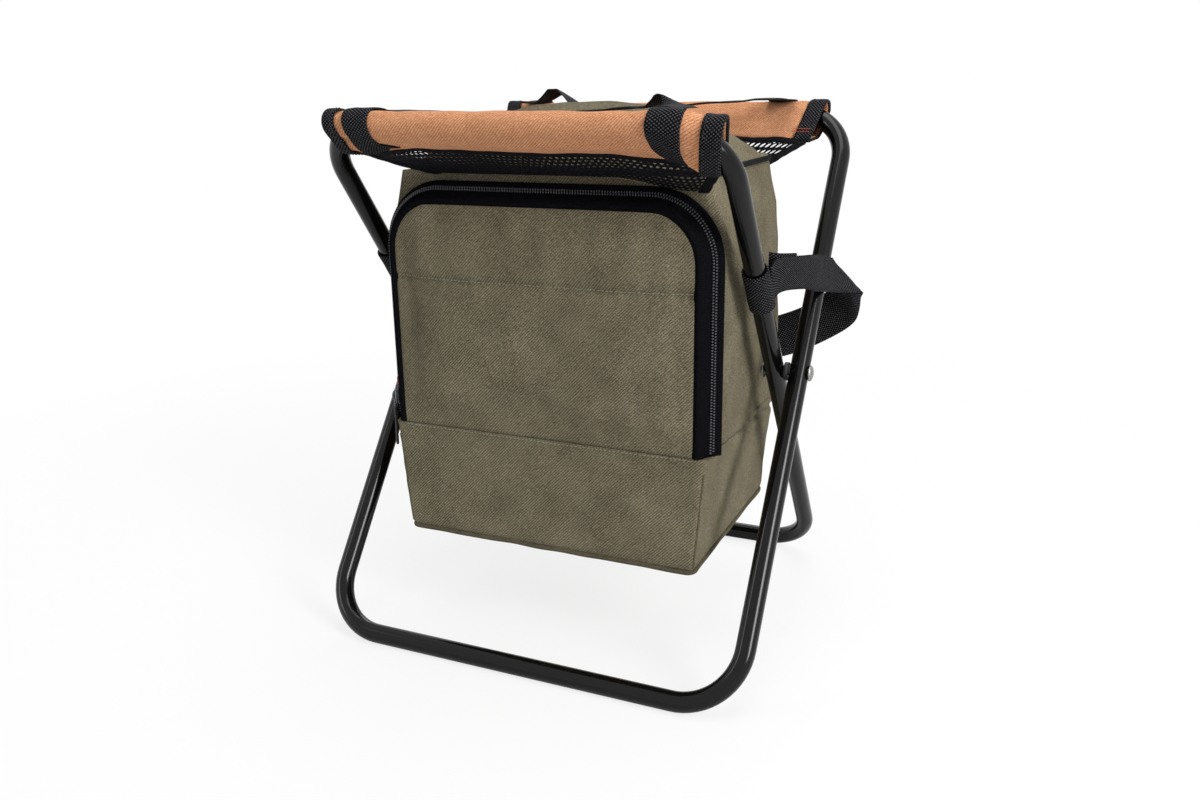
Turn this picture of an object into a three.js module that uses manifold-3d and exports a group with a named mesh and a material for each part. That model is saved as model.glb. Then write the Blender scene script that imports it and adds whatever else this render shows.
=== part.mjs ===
// A folding stool of two crossed tube loops with a cooler bag hung under its fabric seat.
// Millimetres, +Z up, +X to the right of someone facing the front, the front towards -Y.
import * as THREE from 'three';
import { mergeVertices } from 'three/addons/utils/BufferGeometryUtils.js';
import Module from 'manifold-3d';

const wasm = await Module();
wasm.setup();

// Tube loops
const TUBE_D = 16;
const TUBE_WALL = 1.2;
const BEND_R = 48;
const OUTER_HALF = 180;
const LEG_GAP = 4;
const FOOT_REACH = 162;
const BAR_REACH = 147;
const BAR_HEIGHT = 424;
const TUBE_SIDES = 16;
const BEND_STEPS = 6;
const SWAGE_LENGTH = 25;
const SWAGE_TAPER = 4;

// General clearance between pieces, and the overrun of a cutting tool past a face
const GAP = 0.3;
const OVERRUN = 3;

// What follows from the tubes' sizes: the smaller loop's half width, a leg's run and the pivot's height
const TUBE_R = TUBE_D / 2;
const FLAT_R = TUBE_R * Math.cos(Math.PI / TUBE_SIDES);
const INNER_HALF = OUTER_HALF - TUBE_D - LEG_GAP;
const RISE = BAR_HEIGHT - FLAT_R;
const LEG_LENGTH = Math.hypot(RISE, FOOT_REACH + BAR_REACH);
const PIVOT_Z = FLAT_R + RISE * FOOT_REACH / (FOOT_REACH + BAR_REACH);

// Pivot hardware
const RIVET_D = 6;
const RIVET_HEAD_D = 13;
const RIVET_HEAD_H = 3.2;
const CLINCH_D = 9;
const CLINCH_H = 1.6;
const WASHER_D = 14;
const WASHER_T = 1.2;
const SPACER_D = 15;
const ROUND_SIDES = 16;

// Seat sleeves and what is sewn on them
const CLOTH = 1.2;
const SLEEVE_R = TUBE_R + GAP + CLOTH;
const SLEEVE_HALF = INNER_HALF;
const SLEEVE_DROP = 33;
const SEAM_R = 2.2;
const SLEEVE_SIDES = 16;
const WRAP_STEPS = 4;
const FLARE_INSET = 62;
const FLARE_START = SLEEVE_HALF - FLARE_INSET;
const FLARE_LENGTH = 36;
const POCKET_DEPTH = 50;
const POCKET_START = SLEEVE_HALF - POCKET_DEPTH;
const SLOT_DROP = 14;
const FRONT_RIGHT_SLOT_DROP = 28;
const FRONT_LEFT_CUT = 12;
const REAR_LEFT_CUT = 6;
const END_TILT_share = 0.2;
const HANG_TILT_share = 0.156;
const WEBBING = 1.6;
const BINDING_WIDTH = 13;
const SEAM_TAPE_H = 4;
const SEAM_TAPE_T = 2.6;

// Carry handles
const HANDLE_WIDTH = 25;
const HANDLE_INSET = 39;
const HANDLE_SPREAD = 2 * (SLEEVE_HALF - HANDLE_INSET);
const HANDLE_REACH = 41;
const HANDLE_CORNER_R = 22;
const HANDLE_SAG = 5;
const HANDLE_STEPS = 24;

// Bag
const BAG_BOTTOM = 87;
const BAG_FOOT_H = 93;
const BAG_HANG = 38;
const BAG_TOP = BAR_HEIGHT - BAG_HANG;
const HINGE_Z = BAG_BOTTOM + BAG_FOOT_H;
const WAIST_DROP = 86;
const SHOULDER_DROP = 34;
const BAG_WAIST_Z = BAG_TOP - WAIST_DROP;
const BAG_SHOULDER_Z = BAG_TOP - SHOULDER_DROP;
const FRONT_SET = 40;
const BACK_SET = 43;
const FOOT_STEP = 19;
const BACK_LEAN = 6;
const BAG_FRONT = BAR_REACH - FRONT_SET;
const FRAME_FRONT = BAG_FRONT - FOOT_STEP;
const BAG_BACK = BAR_REACH - BACK_SET;
const BAG_BACK_TOP = BAG_BACK - BACK_LEAN;
const BAG_CORNER_R = 18;
const BAG_EDGE_R = 6;
const LEG_ROOM = 10;
const HINGE_TAPER = 4;
const BOTTOM_TAPER = 13;
const TOP_TAPER = 12;
const BAG_HALF_WAIST = INNER_HALF - TUBE_R - LEG_ROOM;
const BAG_HALF_HINGE = BAG_HALF_WAIST - HINGE_TAPER;
const BAG_HALF_BOTTOM = BAG_HALF_WAIST - BOTTOM_TAPER;
const BAG_HALF_TOP = BAG_HALF_WAIST - TOP_TAPER;
const FABRIC = 1.2;
const FOAM = 5;
const LINER = 1;
const CORNER_STEPS = 4;
const PIPING_D = 4;

// Door, its opening and its zip
const TAPE_SPREAD = 14;
const DOOR_HALF = BAG_HALF_WAIST - TAPE_SPREAD;
const DOOR_DROP = 23;
const DOOR_TOP = BAG_TOP - DOOR_DROP;
const DOOR_CORNER_R = 38;
const DOOR_EDGE_FRONT = BAG_FRONT - GAP;
const DOOR_CROWN = 5;
const CHANNEL_DROP = 60;
const DOOR_CHANNEL_Z = DOOR_TOP - CHANNEL_DROP;
const DOOR_CHANNEL_W = 12;
const DOOR_COLUMNS = 12;
const DOOR_ROWS = 17;
const MOUTH_RIM = 10;
const MOUTH_HALF = DOOR_HALF - MOUTH_RIM;
const MOUTH_SILL = HINGE_Z + MOUTH_RIM;
const MOUTH_TOP = DOOR_TOP - MOUTH_RIM;
const MOUTH_CORNER_R = 34;
const TAPE_T = 1.4;
const ZIP_COIL = 2.4;
const ZIP_STEPS = 8;
const SLIDER_LIFT = 19;
const SLIDER_Z = HINGE_Z + SLIDER_LIFT;
const SLIDER_L = 13;
const SLIDER_W = 9;
const ZIP_SPLIT_share = 0.62;
const SLIDER_H = 3;
const PULL_L = 40;
const PULL_W = 5.5;
const PULL_T = 2.4;
const PULL_EYE_L = 9;
const PULL_WIRE = 1.2;

// Seat lid
const LID_RISE = 43;
const LID_EDGE = 5;
const LID_T = 8;
const LID_INSET = 1;
const LID_COLUMNS = 12;
const LID_ROWS = 11;
const LID_CORNER_R = 24;

// Mesh panels
const MESH_T = 1;
const MESH_TOP_INSET = 17;
const MESH_LOW_INSET = 18;
const MESH_TOP_HALF = INNER_HALF - MESH_TOP_INSET;
const MESH_LOW_HALF = BAG_HALF_TOP - MESH_LOW_INSET;
const MESH_COLUMNS = 28;
const MESH_ROWS = 3;
const MESH_STRAND_share = 0.36;
const EDGE_TAPE_W = 7;
const EDGE_TAPE_T = 2;

// Shoulder strap, with the height of its loops on the inner legs
const STRAP_WIDTH = 38;
const STRAP_T = 1.8;
const STRAP_LOOP_share = 0.715;
const STRAP_LOOP_Z = BAR_HEIGHT * STRAP_LOOP_share;
const STRAP_STEPS = 48;

// Colours
const BLACK_PAINT = 0x141416;
const ORANGE = 0xd68c58;
const OLIVE = 0x766e58;
const BLACK_WEB = 0x17181b;
const MESH_BLACK = 0x1b1c20;
const STEEL = 0xb9b9b4;
const NYLON = 0x222224;
const SILVER_LINER = 0xc9ccd0;
const FOAM_WHITE = 0xe9e8e2;
const CORAL = 0xd8503f;

const X_AXIS = new THREE.Vector3(1, 0, 0);

// A loop's plane: up runs along its legs, normal stands square to the plane
function planeOf(side) {
  const up = new THREE.Vector3(0, side * (BAR_REACH + FOOT_REACH), RISE).normalize();
  const normal = new THREE.Vector3().crossVectors(X_AXIS, up);
  const foot = new THREE.Vector3(0, -side * FOOT_REACH, FLAT_R);
  return { side, up, normal, foot };
}

const outerPlane = planeOf(1);
const innerPlane = planeOf(-1);

// How far the seat's seams are drawn from the legs' plane towards the bag, as an angle about the bar
const HANG_TURN = HANG_TILT_share * Math.PI / 2;

// A point at x across the loop, v up along its legs and w off its plane
function inPlane(plane, x, v, w) {
  return new THREE.Vector3(x, 0, 0)
    .add(plane.foot)
    .addScaledVector(plane.up, v)
    .addScaledVector(plane.normal, w);
}

// A plane turned about its seat bar to where the nets pull the sleeve
function hungFrom(plane) {
  const up = plane.up.clone().multiplyScalar(Math.cos(HANG_TURN));
  up.addScaledVector(plane.normal, -plane.side * Math.sin(HANG_TURN));
  const normal = new THREE.Vector3().crossVectors(X_AXIS, up);
  const foot = inPlane(plane, 0, LEG_LENGTH, 0).addScaledVector(up, -LEG_LENGTH);
  return { side: plane.side, up, normal, foot };
}

// A closed body from rings of as many points each; cap triangles come from the flat outline
function loft(rings, capOutline = null) {
  const count = rings[0].length;
  const points = rings.flat();
  const faces = [];
  for (let i = 0; i < rings.length - 1; i += 1) {
    for (let j = 0; j < count; j += 1) {
      const a = i * count + j;
      const b = i * count + (j + 1) % count;
      faces.push(a, b, b + count, a, b + count, a + count);
    }
  }
  const outline = capOutline ?? ringOutline(rings[0]);
  const last = (rings.length - 1) * count;
  for (const [a, b, c] of THREE.ShapeUtils.triangulateShape(outline, [])) {
    faces.push(a, c, b, last + a, last + b, last + c);
  }
  return closedBody(points, faces);
}

// A ring of points seen along its own normal
function ringOutline(ring) {
  const middle = new THREE.Vector3();
  ring.forEach((point) => middle.addScaledVector(point, 1 / ring.length));
  const normal = new THREE.Vector3();
  ring.forEach((point, j) => {
    const next = ring[(j + 1) % ring.length];
    normal.add(new THREE.Vector3().crossVectors(point.clone().sub(middle), next.clone().sub(middle)));
  });
  normal.normalize();
  const across = ring[0].clone().sub(middle).normalize();
  const along = new THREE.Vector3().crossVectors(normal, across);
  return ring.map((point) => {
    const arm = point.clone().sub(middle);
    return new THREE.Vector2(arm.dot(across), arm.dot(along));
  });
}

// A geometry from points and faces, turned inside out if its volume is negative
function closedBody(points, faces) {
  const geometry = new THREE.BufferGeometry();
  geometry.setAttribute('position', new THREE.Float32BufferAttribute(points.flatMap((p) => p.toArray()), 3));
  geometry.setIndex(faces);
  if (volumeOf(points, faces) < 0) {
    const turned = [];
    for (let i = 0; i < faces.length; i += 3) {
      turned.push(faces[i], faces[i + 2], faces[i + 1]);
    }
    geometry.setIndex(turned);
  }
  return geometry;
}

function volumeOf(points, faces) {
  let sum = 0;
  const cross = new THREE.Vector3();
  for (let i = 0; i < faces.length; i += 3) {
    cross.crossVectors(points[faces[i + 1]], points[faces[i + 2]]);
    sum += points[faces[i]].dot(cross);
  }
  return sum;
}

// Solids for cutting and joining, and back to a geometry
function solid(geometry) {
  const bare = geometry.clone();
  bare.deleteAttribute('normal');
  bare.deleteAttribute('uv');
  const merged = mergeVertices(bare);
  const mesh = new wasm.Mesh({
    numProp: 3,
    vertProperties: Float32Array.from(merged.getAttribute('position').array),
    triVerts: Uint32Array.from(merged.getIndex().array),
  });
  return new wasm.Manifold(mesh);
}

function geometryOf(body) {
  const mesh = body.getMesh();
  const geometry = new THREE.BufferGeometry();
  geometry.setAttribute('position', new THREE.Float32BufferAttribute(mesh.vertProperties, 3));
  geometry.setIndex(new THREE.Uint32BufferAttribute(mesh.triVerts, 1));
  return geometry;
}

// Stations round a loop, clockwise from the middle of its top bar
function bendStations(half, corner) {
  const across = (corner < 2 ? 1 : -1) * (half - BEND_R);
  const along = corner === 1 || corner === 2 ? BEND_R : LEG_LENGTH - BEND_R;
  const stations = [];
  for (let i = 0; i <= BEND_STEPS; i += 1) {
    const heading = -(corner + i / BEND_STEPS) * Math.PI / 2;
    stations.push({ x: across - BEND_R * Math.sin(heading), v: along + BEND_R * Math.cos(heading), heading });
  }
  return stations;
}

// The ring of a round section at a station; one flat of it lies level under the foot bar
function tubeRing(plane, station, radius) {
  const level = Math.atan2(-plane.up.y, plane.up.z) + Math.PI / TUBE_SIDES;
  const ring = [];
  for (let j = 0; j < TUBE_SIDES; j += 1) {
    const angle = level + 2 * Math.PI * j / TUBE_SIDES;
    const inner = radius * Math.cos(angle);
    ring.push(inPlane(
      plane,
      station.x - inner * Math.sin(station.heading),
      station.v + inner * Math.cos(station.heading),
      radius * Math.sin(angle),
    ));
  }
  return ring;
}

// A bent tube loop whose necked end plugs into its open start
function tubeLoop(plane, half) {
  const stations = [{ x: 0, v: LEG_LENGTH, heading: 0 }];
  for (let corner = 0; corner < 4; corner += 1) {
    stations.push(...bendStations(half, corner));
  }
  stations.push({ x: -SWAGE_TAPER - GAP, v: LEG_LENGTH, heading: -2 * Math.PI });
  stations.push({ x: -GAP, v: LEG_LENGTH, heading: -2 * Math.PI, necked: true });
  stations.push({ x: SWAGE_LENGTH, v: LEG_LENGTH, heading: -2 * Math.PI, necked: true });
  const neck = TUBE_WALL + GAP;
  const skins = [0, TUBE_WALL].map((depth) => stations.map((station) => (
    tubeRing(plane, station, TUBE_R - depth - (station.necked ? neck : 0))
  )));
  const points = skins.flat(2);
  const faces = [];
  const skin = stations.length * TUBE_SIDES;
  const quad = (a, b, c, d) => faces.push(a, b, c, a, c, d);
  for (let j = 0; j < TUBE_SIDES; j += 1) {
    const k = (j + 1) % TUBE_SIDES;
    for (let i = 0; i < stations.length - 1; i += 1) {
      const here = i * TUBE_SIDES;
      const next = here + TUBE_SIDES;
      quad(here + j, here + k, next + k, next + j);
      quad(skin + here + k, skin + here + j, skin + next + j, skin + next + k);
    }
    const end = skin - TUBE_SIDES;
    quad(j, skin + j, skin + k, k);
    quad(end + k, skin + end + k, skin + end + j, end + j);
  }
  return closedBody(points, faces);
}

// The space that the top of a loop takes, with clearance all round
function barSpace(plane, half) {
  const start = { x: -half, v: LEG_LENGTH - BEND_R - SLEEVE_DROP, heading: Math.PI / 2 };
  const finish = { x: half, v: start.v, heading: -Math.PI / 2 };
  const stations = [start, ...bendStations(half, 3), ...bendStations(half, 0), finish];
  return solid(loft(stations.map((station) => tubeRing(plane, station, TUBE_R + GAP))));
}

// A smooth step from 0 to 1
function ease(value) {
  const t = Math.min(Math.max(value, 0), 1);
  return t * t * (3 - 2 * t);
}

// How far the sleeve's section has opened at x, and how far the section leans towards the middle
function flareAt(x) {
  return ease((Math.abs(x) - FLARE_START) / FLARE_LENGTH);
}

function leanAt(x, depth) {
  return END_TILT_share * (depth + SLEEVE_R) * flareAt(x) * Math.sign(x);
}

// Each sleeve has slid a little to the right on its bar: its left end stops short of the bend
function sleeveEnd(plane, hand) {
  const cut = plane.side > 0 ? REAR_LEFT_CUT : FRONT_LEFT_CUT;
  return hand > 0 ? SLEEVE_HALF : SLEEVE_HALF - cut;
}

// How deep the opening reaches for the leg that leaves through it
function slotDrop(plane, x) {
  return (x > 0 && plane.side < 0 ? FRONT_RIGHT_SLOT_DROP : SLOT_DROP) * flareAt(x);
}

// The circles that the sleeve is drawn round at x: the bar, the leg where it leaves, and the seam
function sleeveCircles(plane, x) {
  const reach = SLEEVE_DROP - SEAM_R;
  return [
    { depth: 0, across: 0, radius: SLEEVE_R },
    { depth: slotDrop(plane, x), across: 0, radius: SLEEVE_R },
    { depth: reach * Math.cos(HANG_TURN), across: plane.side * reach * Math.sin(HANG_TURN), radius: SEAM_R },
  ];
}

// The sleeve's section at x: a tear drop round the bar that opens to a slot at its ends
function sleeveRing(plane, x, offset) {
  const circles = sleeveCircles(plane, x);
  const ring = [];
  for (let j = 0; j < SLEEVE_SIDES; j += 1) {
    const angle = 2 * Math.PI * j / SLEEVE_SIDES;
    const [down, sideways] = [Math.cos(angle), Math.sin(angle)];
    const gain = (circle) => circle.depth * down + circle.across * sideways + circle.radius;
    const circle = circles.reduce((best, other) => (gain(other) > gain(best) ? other : best));
    const depth = circle.depth + (circle.radius + offset) * down;
    const across = circle.across + (circle.radius + offset) * sideways;
    ring.push(inPlane(plane, x - leanAt(x, depth), LEG_LENGTH - depth, across));
  }
  return ring;
}

function sleeveSpan(plane, stations, offset) {
  return solid(loft(stations.map((x) => sleeveRing(plane, x, offset))));
}

// Stations across the sleeve from one distance to another; all its layers share them
function sleeveStations(from, to, hand) {
  const wrap = HANDLE_SPREAD / 2 - HANDLE_WIDTH / 2;
  const shared = [FLARE_START];
  for (let i = 0; i <= WRAP_STEPS; i += 1) {
    shared.push(wrap + HANDLE_WIDTH * i / WRAP_STEPS);
  }
  const side = [from, ...shared.filter((x) => x > from && x < to), to];
  return hand > 0 ? side : side.map((x) => -x).reverse();
}

// A fabric tube round the seat bar, open at both ends where the bar bends down
function sleeve(plane, half) {
  const [left, right] = [-1, 1].map((hand) => sleeveStations(FLARE_START, sleeveEnd(plane, hand), hand));
  let body = sleeveSpan(plane, [...left, ...right], 0);
  for (const hand of [-1, 1]) {
    const pocket = sleeveStations(POCKET_START, sleeveEnd(plane, hand) + OVERRUN, hand);
    body = body.subtract(sleeveSpan(plane, pocket, -CLOTH));
  }
  return geometryOf(body.subtract(barSpace(plane, half)));
}

// Webbing folded over a sleeve's raw end
function sleeveBinding(plane, half, hand) {
  const end = sleeveEnd(plane, hand);
  const inner = end - BINDING_WIDTH;
  const outer = end + GAP + WEBBING;
  const wrap = sleeveSpan(plane, sleeveStations(inner, outer, hand), GAP + WEBBING);
  const fabric = sleeveSpan(plane, sleeveStations(inner - OVERRUN, end + GAP, hand), GAP);
  const hollow = sleeveSpan(plane, sleeveStations(inner - OVERRUN, outer + OVERRUN, hand), -CLOTH);
  return geometryOf(wrap.subtract(fabric).subtract(hollow).subtract(barSpace(plane, half)));
}

// A folded tape along the sleeve's bottom seam, between the handle's loops
function seamTape(plane) {
  const hung = hungFrom(plane);
  const top = SLEEVE_DROP + GAP;
  const ring = (x) => [[top, -1], [top, 1], [top + SEAM_TAPE_H, 1], [top + SEAM_TAPE_H, -1]].map(
    ([depth, face]) => inPlane(hung, x, LEG_LENGTH - depth, face * SEAM_TAPE_T / 2),
  );
  const wrap = (HANDLE_SPREAD - HANDLE_WIDTH) / 2;
  const half = wrap - leanAt(wrap, SLEEVE_DROP + WEBBING + GAP) - GAP;
  return loft([ring(-half), ring(half)]);
}

// A flat strap along its middle points, with the direction of its width at each
function strap(points, widths, width, thickness) {
  const rings = points.map((point, i) => {
    const ahead = points[Math.min(i + 1, points.length - 1)].clone().sub(points[Math.max(i - 1, 0)]).normalize();
    const across = widths[i].clone().addScaledVector(ahead, -widths[i].dot(ahead)).normalize();
    const face = new THREE.Vector3().crossVectors(ahead, across);
    return [[1, 1], [-1, 1], [-1, -1], [1, -1]].map(([a, b]) => point.clone()
      .addScaledVector(across, a * width / 2)
      .addScaledVector(face, b * thickness / 2));
  });
  return loft(rings);
}

// A carry handle: a webbing loop round the sleeve at each end, and a flat bow lying inwards
function carryHandle(plane) {
  const bar = inPlane(plane, 0, LEG_LENGTH, 0);
  const inwards = -plane.side;
  const lift = SLEEVE_R + GAP + WEBBING / 2;
  const points = [];
  const widths = [];
  const put = (x, y, heading) => {
    const sag = HANDLE_SAG * ease(1 - Math.abs(x) / (HANDLE_SPREAD / 2 - HANDLE_CORNER_R));
    points.push(new THREE.Vector3(x, bar.y + inwards * y, bar.z + lift - sag));
    widths.push(new THREE.Vector3(Math.sin(heading), inwards * Math.cos(heading), 0));
  };
  const corner = HANDLE_SPREAD / 2 - HANDLE_CORNER_R;
  const cornerSteps = HANDLE_STEPS / 4;
  const straight = HANDLE_REACH - HANDLE_CORNER_R;
  put(-HANDLE_SPREAD / 2, 0, -Math.PI / 2);
  for (let i = 0; i <= cornerSteps; i += 1) {
    const turn = Math.PI / 2 * i / cornerSteps;
    put(-corner - HANDLE_CORNER_R * Math.cos(turn), straight + HANDLE_CORNER_R * Math.sin(turn), turn - Math.PI / 2);
  }
  for (let i = 1; i < cornerSteps; i += 1) {
    put(corner * (2 * i / cornerSteps - 1), HANDLE_REACH, 0);
  }
  for (let i = cornerSteps; i >= 0; i -= 1) {
    const turn = Math.PI / 2 * i / cornerSteps;
    put(corner + HANDLE_CORNER_R * Math.cos(turn), straight + HANDLE_CORNER_R * Math.sin(turn), Math.PI / 2 - turn);
  }
  put(HANDLE_SPREAD / 2, 0, Math.PI / 2);
  let body = solid(strap(points, widths, HANDLE_WIDTH, WEBBING));
  for (const hand of [-1, 1]) {
    const near = (HANDLE_SPREAD - HANDLE_WIDTH) / 2;
    const far = near + HANDLE_WIDTH;
    const wrap = sleeveSpan(plane, sleeveStations(near, far, hand), GAP + WEBBING);
    const ring = wrap.subtract(sleeveSpan(plane, sleeveStations(near - OVERRUN, far + OVERRUN, hand), GAP));
    body = body.add(ring);
  }
  return geometryOf(body);
}

// A turned piece on the pivot line, from a profile of [radius, distance outwards]
function onPivot(profile, x, hand) {
  const outline = profile.map(([radius, reach]) => new THREE.Vector2(radius, reach));
  const geometry = new THREE.LatheGeometry(outline, ROUND_SIDES);
  geometry.rotateZ(-hand * Math.PI / 2);
  geometry.translate(hand * x, 0, PIVOT_Z);
  return geometry;
}

// A rivet with a domed head on the outer leg and a clinched end inside the inner leg
function rivet(hand) {
  const r = RIVET_D / 2;
  const head = RIVET_HEAD_D / 2;
  const clinch = CLINCH_D / 2;
  const start = INNER_HALF - TUBE_R - GAP - WASHER_T - GAP;
  const under = OUTER_HALF + TUBE_R + GAP - start;
  const profile = [[0, -CLINCH_H], [r, -CLINCH_H], [clinch, 0], [r, 0], [r, under], [head, under]];
  for (let i = 1; i <= 4; i += 1) {
    const turn = Math.PI / 2 * i / 4;
    profile.push([i < 4 ? head * Math.cos(turn) : 0, under + RIVET_HEAD_H * Math.sin(turn)]);
  }
  return onPivot(profile, start, hand);
}

// A flat ring on the pivot line
function pivotRing(diameter, thickness, x, hand) {
  const bore = RIVET_D / 2 + GAP;
  const r = diameter / 2;
  return onPivot([[bore, 0], [r, 0], [r, thickness], [bore, thickness], [bore, 0]], x, hand);
}

// The drilled hole for a rivet through a leg
function drillLegs(geometry) {
  const span = 2 * (OUTER_HALF + TUBE_D);
  const drill = new THREE.CylinderGeometry(RIVET_D / 2 + GAP, RIVET_D / 2 + GAP, span, ROUND_SIDES);
  drill.rotateZ(Math.PI / 2);
  drill.translate(0, 0, PIVOT_Z);
  return geometryOf(solid(geometry).subtract(solid(drill)));
}

// A size that runs through named stations up the bag
function upTheBag(z, stations) {
  let k = 0;
  while (k < stations.length - 2 && z > stations[k + 1][0]) {
    k += 1;
  }
  const [[z0, size0], [z1, size1]] = [stations[k], stations[k + 1]];
  return size0 + (size1 - size0) * Math.min(Math.max((z - z0) / (z1 - z0), 0), 1);
}

function bagHalf(z) {
  return upTheBag(z, [
    [BAG_BOTTOM, BAG_HALF_BOTTOM], [HINGE_Z, BAG_HALF_HINGE], [BAG_WAIST_Z, BAG_HALF_WAIST],
    [BAG_SHOULDER_Z, BAG_HALF_WAIST - BAG_EDGE_R / 2], [BAG_TOP, BAG_HALF_TOP],
  ]);
}

function bagBack(z) {
  return upTheBag(z, [[BAG_BOTTOM, BAG_BACK], [BAG_WAIST_Z, BAG_BACK], [BAG_TOP, BAG_BACK_TOP]]);
}

// A level rounded rectangle of the bag, drawn in by an inset
function bagRing(z, front, inset, frontRadius = BAG_EDGE_R) {
  const half = bagHalf(z) - inset;
  const back = bagBack(z) - inset;
  const near = inset - front;
  const ring = [];
  const corners = [
    [1, near, -1, frontRadius], [1, back, 1, BAG_CORNER_R], [-1, back, 1, BAG_CORNER_R], [-1, near, -1, frontRadius],
  ];
  corners.forEach(([sx, y, sy, size], k) => {
    const radius = Math.max(size - inset, size / 4);
    const start = (k - 1) * Math.PI / 2;
    for (let i = 0; i <= CORNER_STEPS; i += 1) {
      const angle = start + Math.PI / 2 * i / CORNER_STEPS;
      ring.push(new THREE.Vector3(
        sx * (half - radius) + radius * Math.cos(angle),
        y - sy * radius + radius * Math.sin(angle),
        z,
      ));
    }
  });
  return ring;
}

// The bag's solid form drawn in by an inset: a deep foot below the hinge line, a body above it
function bagForm(inset, top) {
  const ledge = HINGE_Z - inset;
  const foot = [BAG_BOTTOM + inset, BAG_BOTTOM + inset + BAG_EDGE_R, ledge];
  const footRings = foot.map((z, i) => bagRing(z, BAG_FRONT, inset + (i === 0 ? BAG_EDGE_R / 2 : 0)));
  const body = [BAG_BOTTOM + inset + BAG_EDGE_R, ledge, BAG_WAIST_Z, BAG_SHOULDER_Z, top];
  const bodyRings = body.map((z) => bagRing(z, FRAME_FRONT, inset));
  return solid(loft(footRings)).add(solid(loft(bodyRings)));
}

// A mouth-shaped outline in x and z: straight sides, rounded top corners
function mouthOutline(half, sill, top, radius) {
  const outline = [[-half, sill]];
  for (const hand of [-1, 1]) {
    for (let i = 0; i <= ZIP_STEPS; i += 1) {
      const turn = Math.PI / 2 * (hand < 0 ? i / ZIP_STEPS : 1 - i / ZIP_STEPS);
      outline.push([hand * (half - radius + radius * Math.cos(turn)), top - radius + radius * Math.sin(turn)]);
    }
  }
  outline.push([half, sill]);
  return outline;
}

// The bag's front mouth as a cutting body
function mouthCut() {
  const outline = mouthOutline(MOUTH_HALF, MOUTH_SILL, MOUTH_TOP, MOUTH_CORNER_R);
  const ring = (y) => outline.map(([x, z]) => new THREE.Vector3(x, y, z));
  return solid(loft([ring(-FRAME_FRONT - OVERRUN), ring(-FRAME_FRONT + FABRIC + FOAM + LINER + OVERRUN)]));
}

// One nested layer of the bag's wall, open at the top and at the mouth
function bagLayer(inset, thickness) {
  const outer = bagForm(inset, BAG_TOP);
  const inner = bagForm(inset + thickness, BAG_TOP + OVERRUN);
  return geometryOf(outer.subtract(inner).subtract(mouthCut()));
}

// A round cord sewn along the bag's bottom edge
function piping() {
  const r = PIPING_D / 2;
  const path = bagRing(BAG_BOTTOM - GAP - r, BAG_FRONT, BAG_EDGE_R / 2 + r);
  const middle = new THREE.Vector3(0, 0, path[0].z);
  const rings = path.map((point) => {
    const out = point.clone().sub(middle).setZ(0).normalize();
    const ring = [];
    for (let j = 0; j < 6; j += 1) {
      const angle = Math.PI * j / 3;
      ring.push(point.clone().addScaledVector(out, r * Math.cos(angle)).setZ(point.z + r * Math.sin(angle)));
    }
    return ring;
  });
  return closedRing(rings);
}

// A body whose last ring joins its first
function closedRing(rings) {
  const count = rings[0].length;
  const faces = [];
  rings.forEach((_, i) => {
    const next = (i + 1) % rings.length;
    for (let j = 0; j < count; j += 1) {
      const k = (j + 1) % count;
      const [a, b, c, d] = [i * count + j, i * count + k, next * count + k, next * count + j];
      faces.push(a, b, c, a, c, d);
    }
  });
  return closedBody(rings.flat(), faces);
}

// The door's outline half width at a height
function doorHalf(z, inset) {
  const top = DOOR_TOP - inset;
  const radius = DOOR_CORNER_R - inset;
  const over = Math.max(z - (top - radius), 0);
  return DOOR_HALF - inset - radius + Math.sqrt(Math.max(radius * radius - over * over, 0));
}

// Heights of a panel's rows, closer together where the outline turns
function doorHeights(inset) {
  const low = HINGE_Z + GAP + inset;
  const turnStart = DOOR_TOP - DOOR_CORNER_R;
  const rows = [];
  const straightRows = DOOR_ROWS - ZIP_STEPS;
  for (let i = 0; i < straightRows; i += 1) {
    rows.push(low + (turnStart - low) * i / straightRows);
  }
  const radius = DOOR_CORNER_R - inset;
  for (let i = 0; i <= ZIP_STEPS; i += 1) {
    rows.push(turnStart + radius * Math.sin(Math.PI / 2 * i / ZIP_STEPS));
  }
  return rows;
}

// A closed pad over a grid: lower and upper give its two faces at a grid point
function pad(columns, rows, lower, upper) {
  const points = [];
  for (const face of [lower, upper]) {
    for (let i = 0; i <= rows; i += 1) {
      for (let j = 0; j <= columns; j += 1) {
        points.push(face(i, 2 * j / columns - 1));
      }
    }
  }
  const faces = [];
  const row = columns + 1;
  const top = row * (rows + 1);
  const quad = (a, b, c, d) => faces.push(a, b, c, a, c, d);
  for (let i = 0; i < rows; i += 1) {
    for (let j = 0; j < columns; j += 1) {
      const a = i * row + j;
      quad(a, a + row, a + row + 1, a + 1);
      quad(top + a, top + a + 1, top + a + row + 1, top + a + row);
    }
    const [left, right] = [i * row, i * row + columns];
    quad(left, top + left, top + left + row, left + row);
    quad(right, right + row, top + right + row, top + right);
  }
  for (let j = 0; j < columns; j += 1) {
    const far = rows * row + j;
    quad(j, j + 1, top + j + 1, top + j);
    quad(far, top + far, top + far + 1, far + 1);
  }
  return closedBody(points, faces);
}

// How full a pad is across u, from 0 at its edges to 1 in its middle
function fullness(u, power) {
  return 1 - Math.abs(u) ** power;
}

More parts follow.
